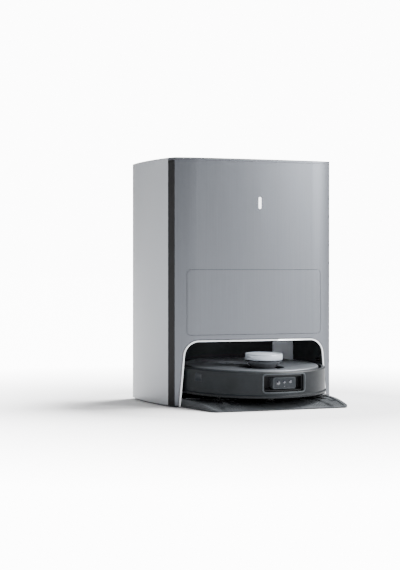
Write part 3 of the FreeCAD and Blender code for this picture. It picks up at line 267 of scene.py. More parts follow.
def bonded_fleece():
    """Filter fleece: long pressed fibres with bonding spots in a close pattern."""
    finish, tree, shader, place = new_finish("bonded_filter_fleece", "#DDDBD4", 0.9, NAP)
    fibres = grains(tree, place, 0.7, (6, 1, 1), 4.0)
    colour = blend_colours(tree, between(tree, fibres, 0, 1), "#CBC9C1", "#E4E2DB")
    tree.links.new(colour, shader.inputs["Base Color"])
    spots = add(tree, "ShaderNodeTexVoronoi", {"Vector": place, "Scale": 1 / (5 * MM)})
    both = {0: fibres, 1: spots.outputs["Distance"]}
    height = add(tree, "ShaderNodeMath", both, operation="ADD").outputs[0]
    raise_grain(tree, shader, height, 0.25)
    return finish


FLEECE = bonded_fleece()
print("made", PILE.name, FLEECE.name, CARD.name)

# %% [markdown]
# The tanks are clear polycarbonate that moulding leaves slightly cloudy, the boards are
# solder mask over copper tracks, and the status light is an opal window over lamps.

# %% Clear tanks, boards and the light
def cloudy_tank(name, colour, clear):
    """Moulded polycarbonate, which lets part of the light through."""
    values = {"IOR": 1.58, "Transmission Weight": clear}
    finish, tree, shader, place = new_finish(name, colour, 0.2, values)
    cloud = grains(tree, place, 12)
    tree.links.new(between(tree, cloud, 0.15, 0.27), shader.inputs["Roughness"])
    raise_grain(tree, shader, cloud, 0.02)
    return finish


def solder_mask():
    """Green solder mask, with paler lines where copper runs below it."""
    finish, tree, shader, place = new_finish("solder_mask", "#0F4A2C", 0.3, LACQUER)
    colours = {"Color1": "#0D4027", "Color2": "#12512F", "Mortar": "#1B6B40"}
    colours = {key: linear(colour) for key, colour in colours.items()}
    tracks = add(tree, "ShaderNodeTexBrick", {"Vector": place, "Scale": 1 / (9 * MM), **colours})
    tree.links.new(tracks.outputs["Color"], shader.inputs["Base Color"])
    return finish


def opal_window():
    """An opal diffuser, lit evenly from behind."""
    glow = {"Emission Color": linear("#FFFFFF"), "Emission Strength": 1.6}
    finish, tree, shader, place = new_finish("opal_diffuser", "#F4F6F8", 0.4, glow)
    colour = blend_colours(tree, grains(tree, place, 4), "#E9EDF0", "#FAFBFC")
    tree.links.new(colour, shader.inputs["Base Color"])
    return finish


CLEAN_TANK = cloudy_tank("cloudy_polycarbonate", "#C9D3DB", 0.75)
DIRTY_TANK = cloudy_tank("smoked_polycarbonate", "#4A4E54", 0.6)
BOARD = solder_mask()
GLOW = opal_window()
print("finishes in all", len(bpy.data.materials))

# %% [markdown]
# A node whose solid already has the right shape keeps its mesh, and only gets its finish.
# The nodes that finer pieces replace are finished as well, in case one is ever shown.

# %% Finish the solids
FINISHES = (
    (SILVER, "left_side_panel right_side_panel"),
    (FRONT, "front_fascia access_door lid"),
    (STRIP_BLACK, "corner_strips"),
    (BAY_BLACK, "bay_housing dust_chamber rear_panel tank_deck"),
    (TAB_GREY, "duct_cover clean_tank_handle dirty_tank_handle"),
    (TRIM, "arch_trim"),
    (TRAY_BLACK, "base_tray wash_tray"),
    (CLEAN_TANK, "clean_water_tank"),
    (DIRTY_TANK, "dirty_water_tank dust_bin"),
    (FLEECE, "dust_bag"),
    (CARD, "bag_collar"),
    (GUT_GREY, "suction_duct vacuum_motor water_pump drying_fan_case"),
    (FAN_WHITE, "vacuum_impeller drying_fan fan_impeller"),
    (BOARD, "control_board main_board"),
    (STEEL, "lid_hinge_pins"),
    (NICKEL, "left_charge_contact right_charge_contact"),
    (GLOW, "status_light"),
    (CHASSIS_BLACK, "robot_chassis robot_deck brush_guard camera_bezel caster_fork"),
    (CHASSIS_BLACK, "left_wheel_arm right_wheel_arm left_wheel right_wheel power_inlet"),
    (BUMPER_BLACK, "bumper"),
    (BOWL_GREY, "turret_base"),
    (PLATE, "top_cover"),
    (TURRET_SILVER, "turret_cap"),
    (WINDOW, "camera_module turret_rotor"),
    (CELL_WRAP, "battery"),
    (BRISTLE, "left_side_brush right_side_brush"),
    (RUBBER, "rubber_feet main_brush caster_wheel left_tyre right_tyre"),
    (PILE, "left_mop right_mop"),
)
bare = set(NODES)
for finish, names in FINISHES:
    for name in names.split():
        NODES[name].data.materials.clear()
        NODES[name].data.materials.append(finish)
        bare.discard(name)
print("finished", len(NODES) - len(bare), "nodes; still bare:", sorted(bare))

# %% [markdown]
# New pieces are drawn in millimetres and then placed in their meshes, so that each object
# stays at the origin. A loft skins a row of rings that have equal counts of points; a lathe
# is a loft whose rings are circles. Doubles are merged, faces are turned outwards, and only
# edges sharper than 35 degrees stay sharp.

# %% Helpers for the meshes
CREASE = math.radians(35)


def up(height):
    """A step of a height, straight up."""
    return Vector((0, 0, height))


def turns(count):
    """The angles that divide a circle evenly."""
    return [2 * math.pi * i / count for i in range(count)]


def spoke(angle, radius=1, height=0):
    """The point at an angle and a radius about the Z axis, at a height."""
    return Vector((radius * math.cos(angle), radius * math.sin(angle), height))


def mirrored(half):
    """A profile of radius and height from one half of it, the other half's heights reversed."""
    return half + [(radius, -height) for radius, height in reversed(half)]


def loft(rings, closed=False, capped=False):
    """A skin over rings of equally many points: the points and the faces."""
    count = len(rings[0])
    points = [point for ring in rings for point in ring]
    faces = []
    for i in range(len(rings) if closed else len(rings) - 1):
        a, b = i * count, (i + 1) % len(rings) * count
        for j in range(count):
            k = (j + 1) % count
            faces.append((a + j, a + k, b + k, b + j))
    if capped:
        faces.append(tuple(range(count)))
        faces.append(tuple(range(len(points) - count, len(points))))
    return points, faces


def lathe(profile, steps=96, at=(0, 0, 0), axis="Z"):
    """A closed profile of radius and height, turned about an axis through a point."""
    rings = []
    for radius, height in profile:
        ring = []
        for angle in turns(steps):
            x, y = radius * math.cos(angle), radius * math.sin(angle)
            point = {"X": (height, x, y), "Y": (x, height, y), "Z": (x, y, height)}[axis]
            ring.append(Vector(point) + Vector(at))
        rings.append(ring)
    return loft(rings, closed=profile[0][0] > 0)


def joined(*skins):
    """Several skins as one."""
    points, faces = [], []
    for more_points, more_faces in skins:
        start = len(points)
        points += more_points
        faces += [tuple(start + i for i in face) for face in more_faces]
    return points, faces


def mesh_from(name, skin, home=STATION, finish=None):
    """A mesh from a skin in millimetres, placed in the station's or the robot's frame."""
    points, faces = skin
    mesh = bpy.data.meshes.new(name)
    mesh.from_pydata([home @ (Vector(point) * MM) for point in points], [], faces)
    work = bmesh.new()
    work.from_mesh(mesh)
    bmesh.ops.remove_doubles(work, verts=work.verts, dist=0.002 * MM)
    bmesh.ops.recalc_face_normals(work, faces=work.faces)
    work.to_mesh(mesh)
    work.free()
    mesh.shade_smooth()
    mesh.set_sharp_from_angle(angle=CREASE)
    if finish:
        mesh.materials.append(finish)
    return mesh


def piece(name, mesh, finish, body, stands_for=""):
    """A finished piece: its material, the body it rides on and what it replaces."""
    if finish:
        mesh.materials.clear()
        mesh.materials.append(finish)
    made = bpy.data.objects.new(name, mesh)
    bpy.context.scene.collection.objects.link(made)
    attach(made, body)
    if stands_for:
        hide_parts(*stands_for.split())
    print(name, "faces", len(mesh.polygons))
    return made


# %% [markdown]
# Geometry Nodes make what repeats. A tree gets named inputs for its sizes. Running it sets
# a modifier's inputs by their identifiers, evaluates it once, and keeps the plain mesh.

# %% Helpers for Geometry Nodes
def title(key):
    """The label of an input, from its name."""
    return key.replace("_", " ").title()


def new_tree(name, floats, ints="", materials="finish"):
    """A Geometry Nodes tree with a geometry input and one named input per word."""
    tree = bpy.data.node_groups.new(name, "GeometryNodeTree")
    tree.interface.new_socket("Geometry", in_out="INPUT", socket_type="NodeSocketGeometry")
    for kind, words in (("Float", floats), ("Int", ints), ("Material", materials)):
        for word in words.split():
            socket = {"in_out": "INPUT", "socket_type": "NodeSocket" + kind}
            tree.interface.new_socket(title(word), **socket)
    tree.interface.new_socket("Geometry", in_out="OUTPUT", socket_type="NodeSocketGeometry")
    return tree, add(tree, "NodeGroupInput").outputs


def end_tree(tree, geometry, finish):
    """Ends a tree in Realize Instances and Set Material."""
    real = add(tree, "GeometryNodeRealizeInstances", {"Geometry": geometry}).outputs[0]
    coloured = {"Geometry": real, "Material": finish}
    coloured = add(tree, "GeometryNodeSetMaterial", coloured).outputs[0]
    add(tree, "NodeGroupOutput", {"Geometry": coloured})


def run_tree(tree, base, **values):
    """The plain mesh that a tree makes of a base mesh with the values given."""
    holder = bpy.data.objects.new("holder", base)
    bpy.context.scene.collection.objects.link(holder)
    modifier = holder.modifiers.new("tree", "NODES")
    modifier.node_group = tree
    named = {title(key): value for key, value in values.items()}
    for item in tree.interface.items_tree:
        if item.in_out == "INPUT" and item.name in named:
            modifier[item.identifier] = named[item.name]
    ready = bpy.context.evaluated_depsgraph_get()
    mesh = bpy.data.meshes.new_from_object(holder.evaluated_get(ready))
    holder.modifiers.clear()
    bpy.data.objects.remove(holder)
    return mesh


def merged(name, *meshes):
    """Several meshes as one, each with the materials it has."""
    work = bmesh.new()
    finishes = []
    for mesh in meshes:
        start = len(work.faces)
        work.from_mesh(mesh)
        work.faces.ensure_lookup_table()
        places = []
        for finish in mesh.materials:
            if finish not in finishes:
                finishes.append(finish)
            places.append(finishes.index(finish))
        for face in work.faces[start:]:
            face.material_index = places[face.material_index] if places else 0
    whole = bpy.data.meshes.new(name)
    work.to_mesh(whole)
    work.free()
    for finish in finishes:
        whole.materials.append(finish)
    whole.set_sharp_from_angle(angle=CREASE)
    return whole


# %% [markdown]
# The laser turret's cap is moulded in two halves that meet in a fine groove at mid-height,
# and its top is dished. A lathe gives both with one profile. The profile starts at the
# CAD node's own radius and heights, so the cap keeps its size.

# %% Turret cap
cap_low, cap_high = span("turret_cap", ROBOT)
cap_middle = (cap_low + cap_high) / 2
R, LOW, TOP = (cap_high.x - cap_low.x) / 2, cap_low.z, cap_high.z
HALF = (LOW + TOP) / 2
cap_profile = [(0, TOP - 1.6), (R - 10, TOP - 1.6), (R - 8.6, TOP - 1.2), (R - 7.4, TOP - 0.2)]
cap_profile += [(R - 6.4, TOP), (R - 2.2, TOP), (R - 0.9, TOP - 0.4), (R - 0.2, TOP - 1.4)]
cap_profile += [(R, TOP - 2.6), (R, HALF + 0.6), (R - 1.1, HALF + 0.3), (R - 1.1, HALF - 0.3)]
cap_profile += [(R, HALF - 0.6), (R - 0.1, LOW + 1.6), (R - 0.7, LOW + 0.4), (R - 1.8, LOW)]
cap_profile += [(R - 2.8, LOW + 0.4), (R - 2.8, TOP - 3), (0, TOP - 3)]
skin = lathe(cap_profile, 128, (cap_middle.x, cap_middle.y, 0))
mesh = mesh_from("cap", skin, ROBOT)
piece("turret_cap_shell", mesh, TURRET_SILVER, "robot", "turret_cap")

# %% [markdown]
# In the dish lies a thin round badge plate without any mark, slightly darker than the cap.

# %% Dish disc of painted shade
dish_shade_profile = [(0, TOP - 1.5), (R - 13, TOP - 1.5), (R - 12.4, TOP - 1.1), (R - 13.4, TOP - 0.8)]
dish_shade_profile += [(0, TOP - 0.6)]
skin = lathe(dish_shade_profile, 96, (cap_middle.x, cap_middle.y, 0))
# The disc's darker grey paints the shade that falls on the dished top.
piece("turret_dish_shade_disc", mesh_from("dish", skin, ROBOT), TAB_GREY, "robot")

# %% [markdown]
# The top plate is a round sheet with a rolled rim, and a hole for the turret that isn't in
# its middle. Each ring of the loft lies on a circle about the plate's centre, but its points
# are where rays from the hole's centre meet that circle, so no face is twisted.

# %% Top plate
plate_low, plate_high = span("top_cover", ROBOT)
PLATE_R, PLATE_TOP, SKIRT = (plate_high.x - plate_low.x) / 2, plate_high.z, plate_low.z
hole_at = Vector((0, cap_middle.y, 0))
HOLE_R = 48.0
PLATE_STEPS = 240


def ray_ring(radius, height):
    """Points at a height, where rays from the hole's centre meet a circle about the plate's."""
    ring = []
    for angle in turns(PLATE_STEPS):
        ray = spoke(angle)
        ahead = -hole_at.dot(ray)
        reach = ahead + math.sqrt(ahead**2 + radius**2 - hole_at.length_squared)
        ring.append(hole_at + ray * reach + up(height))
    return ring


def hole_ring(radius, height):
    """Points of a circle about the hole's centre."""
    return [hole_at + spoke(angle, radius, height) for angle in turns(PLATE_STEPS)]


rings = [hole_ring(HOLE_R, PLATE_TOP - 3.4), hole_ring(HOLE_R, PLATE_TOP - 0.7)]
rings += [hole_ring(HOLE_R + 0.7, PLATE_TOP - 0.1), hole_ring(HOLE_R + 1.6, PLATE_TOP)]
for inset, drop in ((3.0, 0), (1.9, 0.15), (0.9, 0.7), (0.25, 1.6), (0, 2.6)):
    rings.append(ray_ring(PLATE_R - inset, PLATE_TOP - drop))
rings += [ray_ring(PLATE_R, SKIRT + 0.4), ray_ring(PLATE_R - 0.5, SKIRT)]
rings += [ray_ring(PLATE_R - 2.2, SKIRT), ray_ring(PLATE_R - 2.2, PLATE_TOP - 3.4)]
skin = loft(rings, closed=True)
piece("top_plate", mesh_from("plate", skin, ROBOT), PLATE, "top_cover", "top_cover")

# %% [markdown]
# The bumper's window has a raised rim, which follows the bumper's round face. A rounded
# rectangle is walked point by point, each point is laid on the bumper's curve, and a small
# half-round section is carried along it.

# %% Rim round the camera window
bumper_low, bumper_high = span("bumper", ROBOT)
camera_middle = middle("camera_module", ROBOT)
WINDOW_HALF, WINDOW_LOW, WINDOW_HIGH = 52.0, 29.5, 68.0
FACE_LOW, FACE_HIGH = (178.0, bumper_low.z + 7), (177.0, bumper_high.z - 2)


def face_radius(height):
    """The radius of the bumper's face, which draws in slightly towards its top."""
    share = (height - FACE_LOW[1]) / (FACE_HIGH[1] - FACE_LOW[1])
    return FACE_LOW[0] + (FACE_HIGH[0] - FACE_LOW[0]) * min(max(share, 0), 1)


def on_face(x, z, proud):
    """The point of the bumper's face at x and z, moved straight out by proud."""
    radius = face_radius(z)
    y = -math.sqrt(radius**2 - x**2)
    return Vector((x, y, z)) + Vector((x, y, 0)) / radius * proud


def rounded_loop(half_x, half_z, radius, per_corner=8, per_side=10):
    """Points round a rounded rectangle about the origin, with their outward directions."""
    loop = []
    corners = ((1, 1, 0), (-1, 1, 90), (-1, -1, 180), (1, -1, 270))
    for sx, sz, start in corners:
        for i in range(per_corner + 1):
            angle = math.radians(start + 90 * i / per_corner)
            out = Vector((math.cos(angle), 0, math.sin(angle)))
            core = Vector((sx * (half_x - radius), 0, sz * (half_z - radius)))
            loop.append((core + out * radius, out))
        length = 2 * (half_x - radius)
        if per_side and start in (0, 180):
            edge = loop[-1][0]
            for i in range(1, per_side):
                loop.append((edge - Vector((sz * length * i / per_side, 0, 0)), loop[-1][1]))
    return loop


RIM_WIDTH = 3.2
rim_half_z = (WINDOW_HIGH - WINDOW_LOW + RIM_WIDTH) / 2
rim_loop = rounded_loop(WINDOW_HALF + RIM_WIDTH / 2, rim_half_z, 6.5)
rim_centre_z = (WINDOW_LOW + WINDOW_HIGH) / 2
section = [(-1.6, -0.3), (-1.6, 0.7), (-0.9, 1.2), (0.9, 1.2), (1.6, 0.7), (1.6, -0.3)]
rings = []
for point, out in rim_loop:
    spots = [(point + out * across, proud) for across, proud in section]
    rings.append([on_face(camera_middle.x + p.x, rim_centre_z + p.z, proud) for p, proud in spots])
skin = loft(rings, closed=True)
piece("camera_rim", mesh_from("rim", skin, ROBOT), RIM_GREY, "bumper")

# %% [markdown]
# The camera block sits in the recess: a thin frame, a smoked window over the sensors, and
# lenses that show faintly through it. Frame and window are lofts of one rounded rectangle
# at several depths, and the lenses are small lathes that face forwards.

# %% Camera block
camera_low, camera_high = span("camera_module", ROBOT)
camera_half_x = (camera_high.x - camera_low.x) / 2
camera_half_z = (camera_high.z - camera_low.z) / 2
FRONT_Y = camera_low.y + 1.2


def plate_ring(inset, y):
    """The camera block's outline, drawn in by an inset, at a depth."""
    loop = rounded_loop(camera_half_x - inset, camera_half_z - inset, max(3.4 - inset, 1.2))
    return [Vector((camera_middle.x + p.x, y, camera_middle.z + p.z)) for p, out in loop]


steps = ((0, camera_high.y), (0, FRONT_Y + 0.9), (0.3, FRONT_Y + 0.3), (0.9, FRONT_Y))
steps += ((1.8, FRONT_Y), (2.1, FRONT_Y + 0.3), (2.1, FRONT_Y + 1.2))
skin = loft([plate_ring(inset, y) for inset, y in steps], capped=True)
mesh = mesh_from("frame", skin, ROBOT)
piece("camera_frame", mesh, RIM_GREY, "robot", "camera_module")
steps = ((2.2, FRONT_Y + 2.0), (2.2, FRONT_Y + 0.75), (2.6, FRONT_Y + 0.55))
skin = loft([plate_ring(inset, y) for inset, y in steps], capped=True)
piece("camera_window", mesh_from("window", skin, ROBOT), SMOKE_GREY, "robot")

# %% Camera lenses
lens_skins = []
for x, z, radius in ((-15, 0, 4.6), (15, 3, 3.8), (0, 1.5, 3.2), (0, -8.2, 1.3)):
    face = FRONT_Y + 0.55
    dome = [(0, face - 0.75), (radius * 0.5, face - 0.65), (radius * 0.8, face - 0.3)]
    dome += [(radius * 0.86, face - 0.05), (radius * 0.92, face - 0.35), (radius, face - 0.3)]
    dome += [(radius + 0.2, face + 0.2), (0, face + 0.2)]
    at = (camera_middle.x + x, 0, camera_middle.z + z)
    lens_skins.append(lathe(dome, 40, at, "Y"))
piece("camera_lenses", mesh_from("lenses", joined(*lens_skins), ROBOT), LENS, "robot")

# %% [markdown]
# Low on the left of the bumper, a smoked window covers a distance sensor. It's laid on the
# round face like the rim, and then turned about the robot's middle to its own bearing.

# %% Side sensor window
SENSOR_BEARING = math.radians(-66.2)
SENSOR_Z, SENSOR_HALF = 55.5, (11.0, 9.3)
around = Matrix.Rotation(SENSOR_BEARING, 4, "Z")
rings = []
for inset, proud in ((0, -0.3), (0, 0.25), (0.5, 0.5), (1.2, 0.5), (1.5, 0.3)):
    loop = rounded_loop(SENSOR_HALF[0] - inset, SENSOR_HALF[1] - inset, 2.2 - inset * 0.6)
    rings.append([around @ on_face(p.x, SENSOR_Z + p.z, proud) for p, out in loop])
skin = loft(rings, capped=True)
piece("side_sensor_window", mesh_from("sensor", skin, ROBOT), SMOKE_GREY, "bumper")

# %% [markdown]
# Below the chassis, round windows cover the sensors that look for a stair's edge.

# %% Edge sensors
EDGE_RING = 160.0
edge_skins = []
low = span("robot_chassis", ROBOT)[0].z
for bearing in (-78, -24, 24, 78):
    bearing = math.radians(bearing)
    x, y = EDGE_RING * math.sin(bearing), -EDGE_RING * math.cos(bearing)
    dome = [(0, low - 0.9), (4.6, low - 0.7), (5.6, low - 0.3), (5.8, low - 0.6), (6.8, low - 0.5)]
    dome += [(7.2, low + 0.3), (0, low + 0.3)]
    edge_skins.append(lathe(dome, 40, (x, y, 0)))
piece("edge_sensors", mesh_from("edge", joined(*edge_skins), ROBOT), WINDOW, "robot")

# %% [markdown]
# The ramp is moulded with two tracks of raised pads where the wheels climb. The pads lie in
# rows over a curved surface, which is work for Geometry Nodes: a flat grid of points is
# dropped on the tray by Raycast, and a small four-sided frustum stands on each point, turned
# to the surface's normal.

# %% Tree for the ramp's pads
pad_sizes = "field_width field_length centre_x centre_y pad_width pad_length pad_height"
pad_tree, given = new_tree("ramp_pads", pad_sizes, "columns rows")
grid = [given[title(word)] for word in ("field_width", "field_length", "columns", "rows")]
grid = add(pad_tree, "GeometryNodeMeshGrid", dict(enumerate(grid)))
above = {"X": given["Centre X"], "Y": given["Centre Y"], "Z": 0.1}
above = add(pad_tree, "ShaderNodeCombineXYZ", above).outputs[0]
moved = {"Geometry": grid.outputs[0], "Translation": above}
moved = add(pad_tree, "GeometryNodeTransform", moved)
hit = {"Target Geometry": given["Geometry"], "Ray Direction": (0, 0, -1), "Ray Length": 0.2}
hit = add(pad_tree, "GeometryNodeRaycast", hit).outputs
lie = {"Geometry": moved.outputs[0], "Name": "lie", "Value": hit["Hit Normal"]}
stored = add(pad_tree, "GeometryNodeStoreNamedAttribute", lie, data_type="FLOAT_VECTOR")
landed = {"Geometry": stored.outputs[0], "Position": hit["Hit Position"]}
landed = add(pad_tree, "GeometryNodeSetPosition", landed).outputs[0]
lie = add(pad_tree, "GeometryNodeInputNamedAttribute", {"Name": "lie"}, data_type="FLOAT_VECTOR")
turned = add(pad_tree, "FunctionNodeAlignRotationToVector", {"Vector": lie.outputs[0]}, axis="Z")
CORNER = math.sqrt(0.5)  # a four-sided cone of this radius is one unit across its flats
cone = {"Vertices": 4, "Radius Top": CORNER * 0.72, "Radius Bottom": CORNER, "Depth": 1.0}
cone = add(pad_tree, "GeometryNodeMeshCone", cone).outputs[0]
square = {"Geometry": cone, "Rotation": (0, 0, math.pi / 4)}
square = add(pad_tree, "GeometryNodeTransform", square).outputs[0]
pad_size = {"X": given["Pad Width"], "Y": given["Pad Length"], "Z": given["Pad Height"]}
pad_size = add(pad_tree, "ShaderNodeCombineXYZ", pad_size).outputs[0]
stood = {"Points": landed, "Instance": square, "Rotation": turned.outputs[0], "Scale": pad_size}
stood = add(pad_tree, "GeometryNodeInstanceOnPoints", stood).outputs[0]
end_tree(pad_tree, stood, given["Finish"])
print("tree", pad_tree.name, "nodes", len(pad_tree.nodes))

# %% Ramp pads
ramp_low = span("base_tray")[0]
PITCH_X, PITCH_Y, COLUMNS, ROWS = 7.0, 8.6, 11, 15
TRACKS_X, FIRST_ROW = (-121, 122), 14
field_length = PITCH_Y * (ROWS - 1)
pads = {
    "field_width": PITCH_X * (COLUMNS - 1) * MM,
    "field_length": field_length * MM,
    "centre_y": (ramp_low.y + FIRST_ROW + field_length / 2) * MM,
    "pad_width": 4.6 * MM,
    "pad_length": 5.6 * MM,
    "pad_height": 0.9 * MM,
}
tracks = []
for centre_x in TRACKS_X:
    tray = NODES["base_tray"].data.copy()
    rest = {"columns": COLUMNS, "rows": ROWS, "centre_x": centre_x * MM, "finish": TRAY_BLACK}
    tracks.append(run_tree(pad_tree, tray, **pads, **rest))
piece("ramp_pads", merged("pads", *tracks), None, "station")

# %% [markdown]
# Two fine ribs divide the ramp's smooth middle. Each is a loft of a low section along the
# ramp, whose height is measured on the tray's own mesh.

# %% Ramp ribs
tray_mesh = NODES["base_tray"].data
tray_rays = BVHTree.FromPolygons(
    [vertex.co for vertex in tray_mesh.vertices], [face.vertices for face in tray_mesh.polygons]
)


def tray_height(x, y):
    """The height of the tray's top at a point, in millimetres."""
    hit = tray_rays.ray_cast(Vector((x * MM, y * MM, 0.1)), Vector((0, 0, -1)))
    return hit[0].z / MM


RIB_SECTION = ((-1.1, -0.4), (-0.6, 0.6), (0.6, 0.6), (1.1, -0.4))
RIBS_X, RIB_START, RIB_STEP, RIB_RINGS = (-38, 50), 6, 3.2, 41
rib_skins = []
for x in RIBS_X:
    rings = []
    for i in range(RIB_RINGS):
        y = ramp_low.y + RIB_START + i * RIB_STEP
        z = tray_height(x, y)
        rings.append([Vector((x + a, y, z + h)) for a, h in RIB_SECTION])
    rib_skins.append(loft(rings, capped=True))
piece("ramp_ribs", mesh_from("ribs", joined(*rib_skins)), TRAY_BLACK, "station")

# %% [markdown]
# Bristles grow from many points in many directions. The points are a plain mesh, with each
# point's direction stored as an attribute. The tree stands a thin cone on each, leans it by
# a seeded random amount, and varies its length. Real bristles are about 0.15 mm thick. They
# are drawn 0.6 to 0.9 mm thick, and the mops' loops stouter still, so that they show.

# %% Tree for bristles
bristle_sizes = "radius length shortest splay tip"
bristle_tree, given = new_tree("bristles", bristle_sizes, "sides seed")
thin = {"X": given["Radius"], "Y": given["Radius"], "Z": given["Length"]}
thin = add(bristle_tree, "ShaderNodeCombineXYZ", thin).outputs[0]
cone = {"Vertices": given["Sides"], "Radius Top": given["Tip"], "Radius Bottom": 1.0}
cone = add(bristle_tree, "GeometryNodeMeshCone", {**cone, "Depth": 1.0}).outputs[0]
GROWTH, DIRECTION = {"Name": "growth"}, {"data_type": "FLOAT_VECTOR"}
growth = add(bristle_tree, "GeometryNodeInputNamedAttribute", GROWTH, **DIRECTION).outputs[0]
lean = {"Min": (-1, -1, -1), "Max": (1, 1, 1), "Seed": given["Seed"]}
lean = add(bristle_tree, "FunctionNodeRandomValue", lean, **DIRECTION).outputs[0]
lean = {0: lean, "Scale": given["Splay"]}
lean = add(bristle_tree, "ShaderNodeVectorMath", lean, operation="SCALE").outputs[0]
aim = add(bristle_tree, "ShaderNodeVectorMath", {0: growth, 1: lean}, operation="ADD")
turned = {"Vector": aim.outputs[0]}
turned = add(bristle_tree, "FunctionNodeAlignRotationToVector", turned, axis="Z").outputs[0]
share = {2: given["Shortest"], 3: 1.0, "Seed": given["Seed"]}
share = add(bristle_tree, "FunctionNodeRandomValue", share, data_type="FLOAT").outputs[1]
stretch = add(bristle_tree, "ShaderNodeCombineXYZ", {"X": 1.0, "Y": 1.0, "Z": share}).outputs[0]
sized = add(bristle_tree, "ShaderNodeVectorMath", {0: thin, 1: stretch}, operation="MULTIPLY")
sized = sized.outputs[0]
grown = {"Points": given["Geometry"], "Instance": cone, "Rotation": turned, "Scale": sized}
grown = add(bristle_tree, "GeometryNodeInstanceOnPoints", grown).outputs[0]
end_tree(bristle_tree, grown, given["Finish"])


def directed(name, roots, home):
    """A mesh of points from pairs of a point in millimetres and a direction, which it stores."""
    base = bpy.data.meshes.new(name)
    base.from_pydata([home @ (Vector(point) * MM) for point, way in roots], [], [])
    growth = base.attributes.new("growth", "FLOAT_VECTOR", "POINT")
    for i, (point, way) in enumerate(roots):
        growth.data[i].vector = (home.to_3x3() @ Vector(way)).normalized()
    return base


def bristles(roots, home, finish, radius, length, shortest, splay, sides=5, tip=0.5, seed=7):
    """Bristles from roots, which are pairs of a point in millimetres and a direction."""
    values = {"radius": radius * MM, "length": length * MM, "shortest": shortest, "splay": splay}
    values.update(sides=sides, tip=tip, seed=seed, finish=finish)
    return run_tree(bristle_tree, directed("roots", roots, home), **values)


print("tree", bristle_tree.name, "nodes", len(bristle_tree.nodes))

# %% [markdown]
# Each side brush has a hub on the motor's shaft, three flexible arms, and a fan of bristles
# from each arm's end. The hub is a lathe, and each arm a loft that tapers and thins.

# %% Side brushes
REACH, ARM_START, ARM_END, OVERLAP = 79.0, 8, 46.0, 2.5
ARM_STEPS, TUFTS = 8, 13
HUB = [(0, 3.0), (6, 3.1), (10.4, 3.8), (11.8, 5.0), (12, 7.6), (11, 9), (4, 9), (4, 21), (0, 21)]
ARM_OUTLINE = [(-1, -0.5), (-0.8, -1), (0.8, -1), (1, -0.5)]
ARM_OUTLINE += [(1, 0.5), (0.8, 1), (-0.8, 1), (-1, 0.5)]


def axle_point(joint):
    """The floor point below a joint's axis, in millimetres of the robot's frame."""
    spot = ROBOT.inverted() @ Vector(JOINTS[joint]["pos_m"]) / MM
    return Vector((spot.x, spot.y, 0))


def side_brush(node, first, turn):
    """A brush's solid mesh and its bristles, from the bearing of its first arm."""
    at = axle_point(node + "_spin")
    skins = [lathe(HUB, 64, at)]
    roots = []
    for i in range(3):
        along = spoke(math.radians(first + turn * i))
        side = Vector((-along.y, along.x, 0))
        rings = []
        for j in range(ARM_STEPS + 1):
            share = j / ARM_STEPS
            reach = ARM_START + (ARM_END - ARM_START) * share
            wide, thick = 3.6 - 1.4 * share, 1.1 - 0.4 * share
            centre = at + along * reach + up(5.6 - 0.3 * share)
            rings.append([centre + side * (wide * a) + up(thick * b) for a, b in ARM_OUTLINE])
        skins.append(loft(rings, capped=True))
        for j in range(2 * TUFTS):
            fan = (j % TUFTS - 6) / 6
            start = at + along * (ARM_END - OVERLAP) + side * (fan * 1.7)
            start += up(5.1 + 0.5 * (j // TUFTS))
            roots.append((start, along + side * (fan * 0.15) + up(-0.012)))
    body = mesh_from("brush", joined(*skins), ROBOT, finish=CHASSIS_BLACK)
    fans = bristles(roots, ROBOT, BRISTLE, 0.42, REACH - ARM_END + OVERLAP, 0.9, 0.02)
    return merged(node, body, fans)


for node, first, turn, body in (
    ("left_side_brush", 140, 120, "left_sweeper"),
    ("right_side_brush", 40, -120, "right_sweeper"),
):
    piece(node + "_fans", side_brush(node, first, turn), None, body, node)

# %% [markdown]
# The main brush is a core with rows that run in a V, so that they sweep dirt to the middle.
# Three rows are rubber vanes, which are lofts, and three are bristles on the same path.

# %% Main brush
brush_low, brush_high = span("main_brush", ROBOT)
brush_at = (brush_low + brush_high) / 2
BRUSH_R, BRUSH_CORE, BRUSH_HALF = (brush_high.z - brush_low.z) / 2, 9.0, 82.0
V_TWIST = math.radians(50)


def on_brush(x, angle, radius):
    """The point at x on a row of the brush, at a radius from its axis."""
    bearing = angle + V_TWIST * abs(x) / BRUSH_HALF
    y, z = radius * math.cos(bearing), radius * math.sin(bearing)
    return Vector((x, brush_at.y + y, brush_at.z + z))


CHEEK = BRUSH_CORE + 2.4
VANE = [(-0.1, 8.6), (-0.05, BRUSH_R - 1), (0, BRUSH_R - 0.3), (0.05, BRUSH_R - 1), (0.1, 8.6)]
VANE_HALF, VANE_STEPS, ROW_HALF, ROW_TUFTS = 77, 64, 76, 110
ends = [(0, -88.5), (3, -88.5), (3, -84), (8, -84), (CHEEK, -82), (CHEEK, -79)]
ends += [(BRUSH_CORE, -77.5)]
skins = [lathe(mirrored(ends), 64, (0, brush_at.y, brush_at.z), "X")]
roots = []
for row in range(6):
    angle = math.pi / 3 * row
    if row % 2 == 0:
        rings = []
        for i in range(VANE_STEPS + 1):
            x = -VANE_HALF + 2 * VANE_HALF * i / VANE_STEPS
            rings.append([on_brush(x, angle + turn, radius) for turn, radius in VANE])
        skins.append(loft(rings, capped=True))
    else:
        for i in range(ROW_TUFTS):
            x = -ROW_HALF + 2 * ROW_HALF * i / (ROW_TUFTS - 1)
            for turn in (-0.09, 0, 0.09):
                root = on_brush(x, angle + turn, BRUSH_CORE - 0.3)
                roots.append((root, root - Vector((x, brush_at.y, brush_at.z))))
body = mesh_from("main", joined(*skins), ROBOT, finish=RUBBER)
rows = bristles(roots, ROBOT, BRISTLE, 0.3, BRUSH_R - BRUSH_CORE, 0.9, 0.12, sides=4)
rows = merged("rows", body, rows)
piece("main_brush_rows", rows, None, "roller_brush", "main_brush")

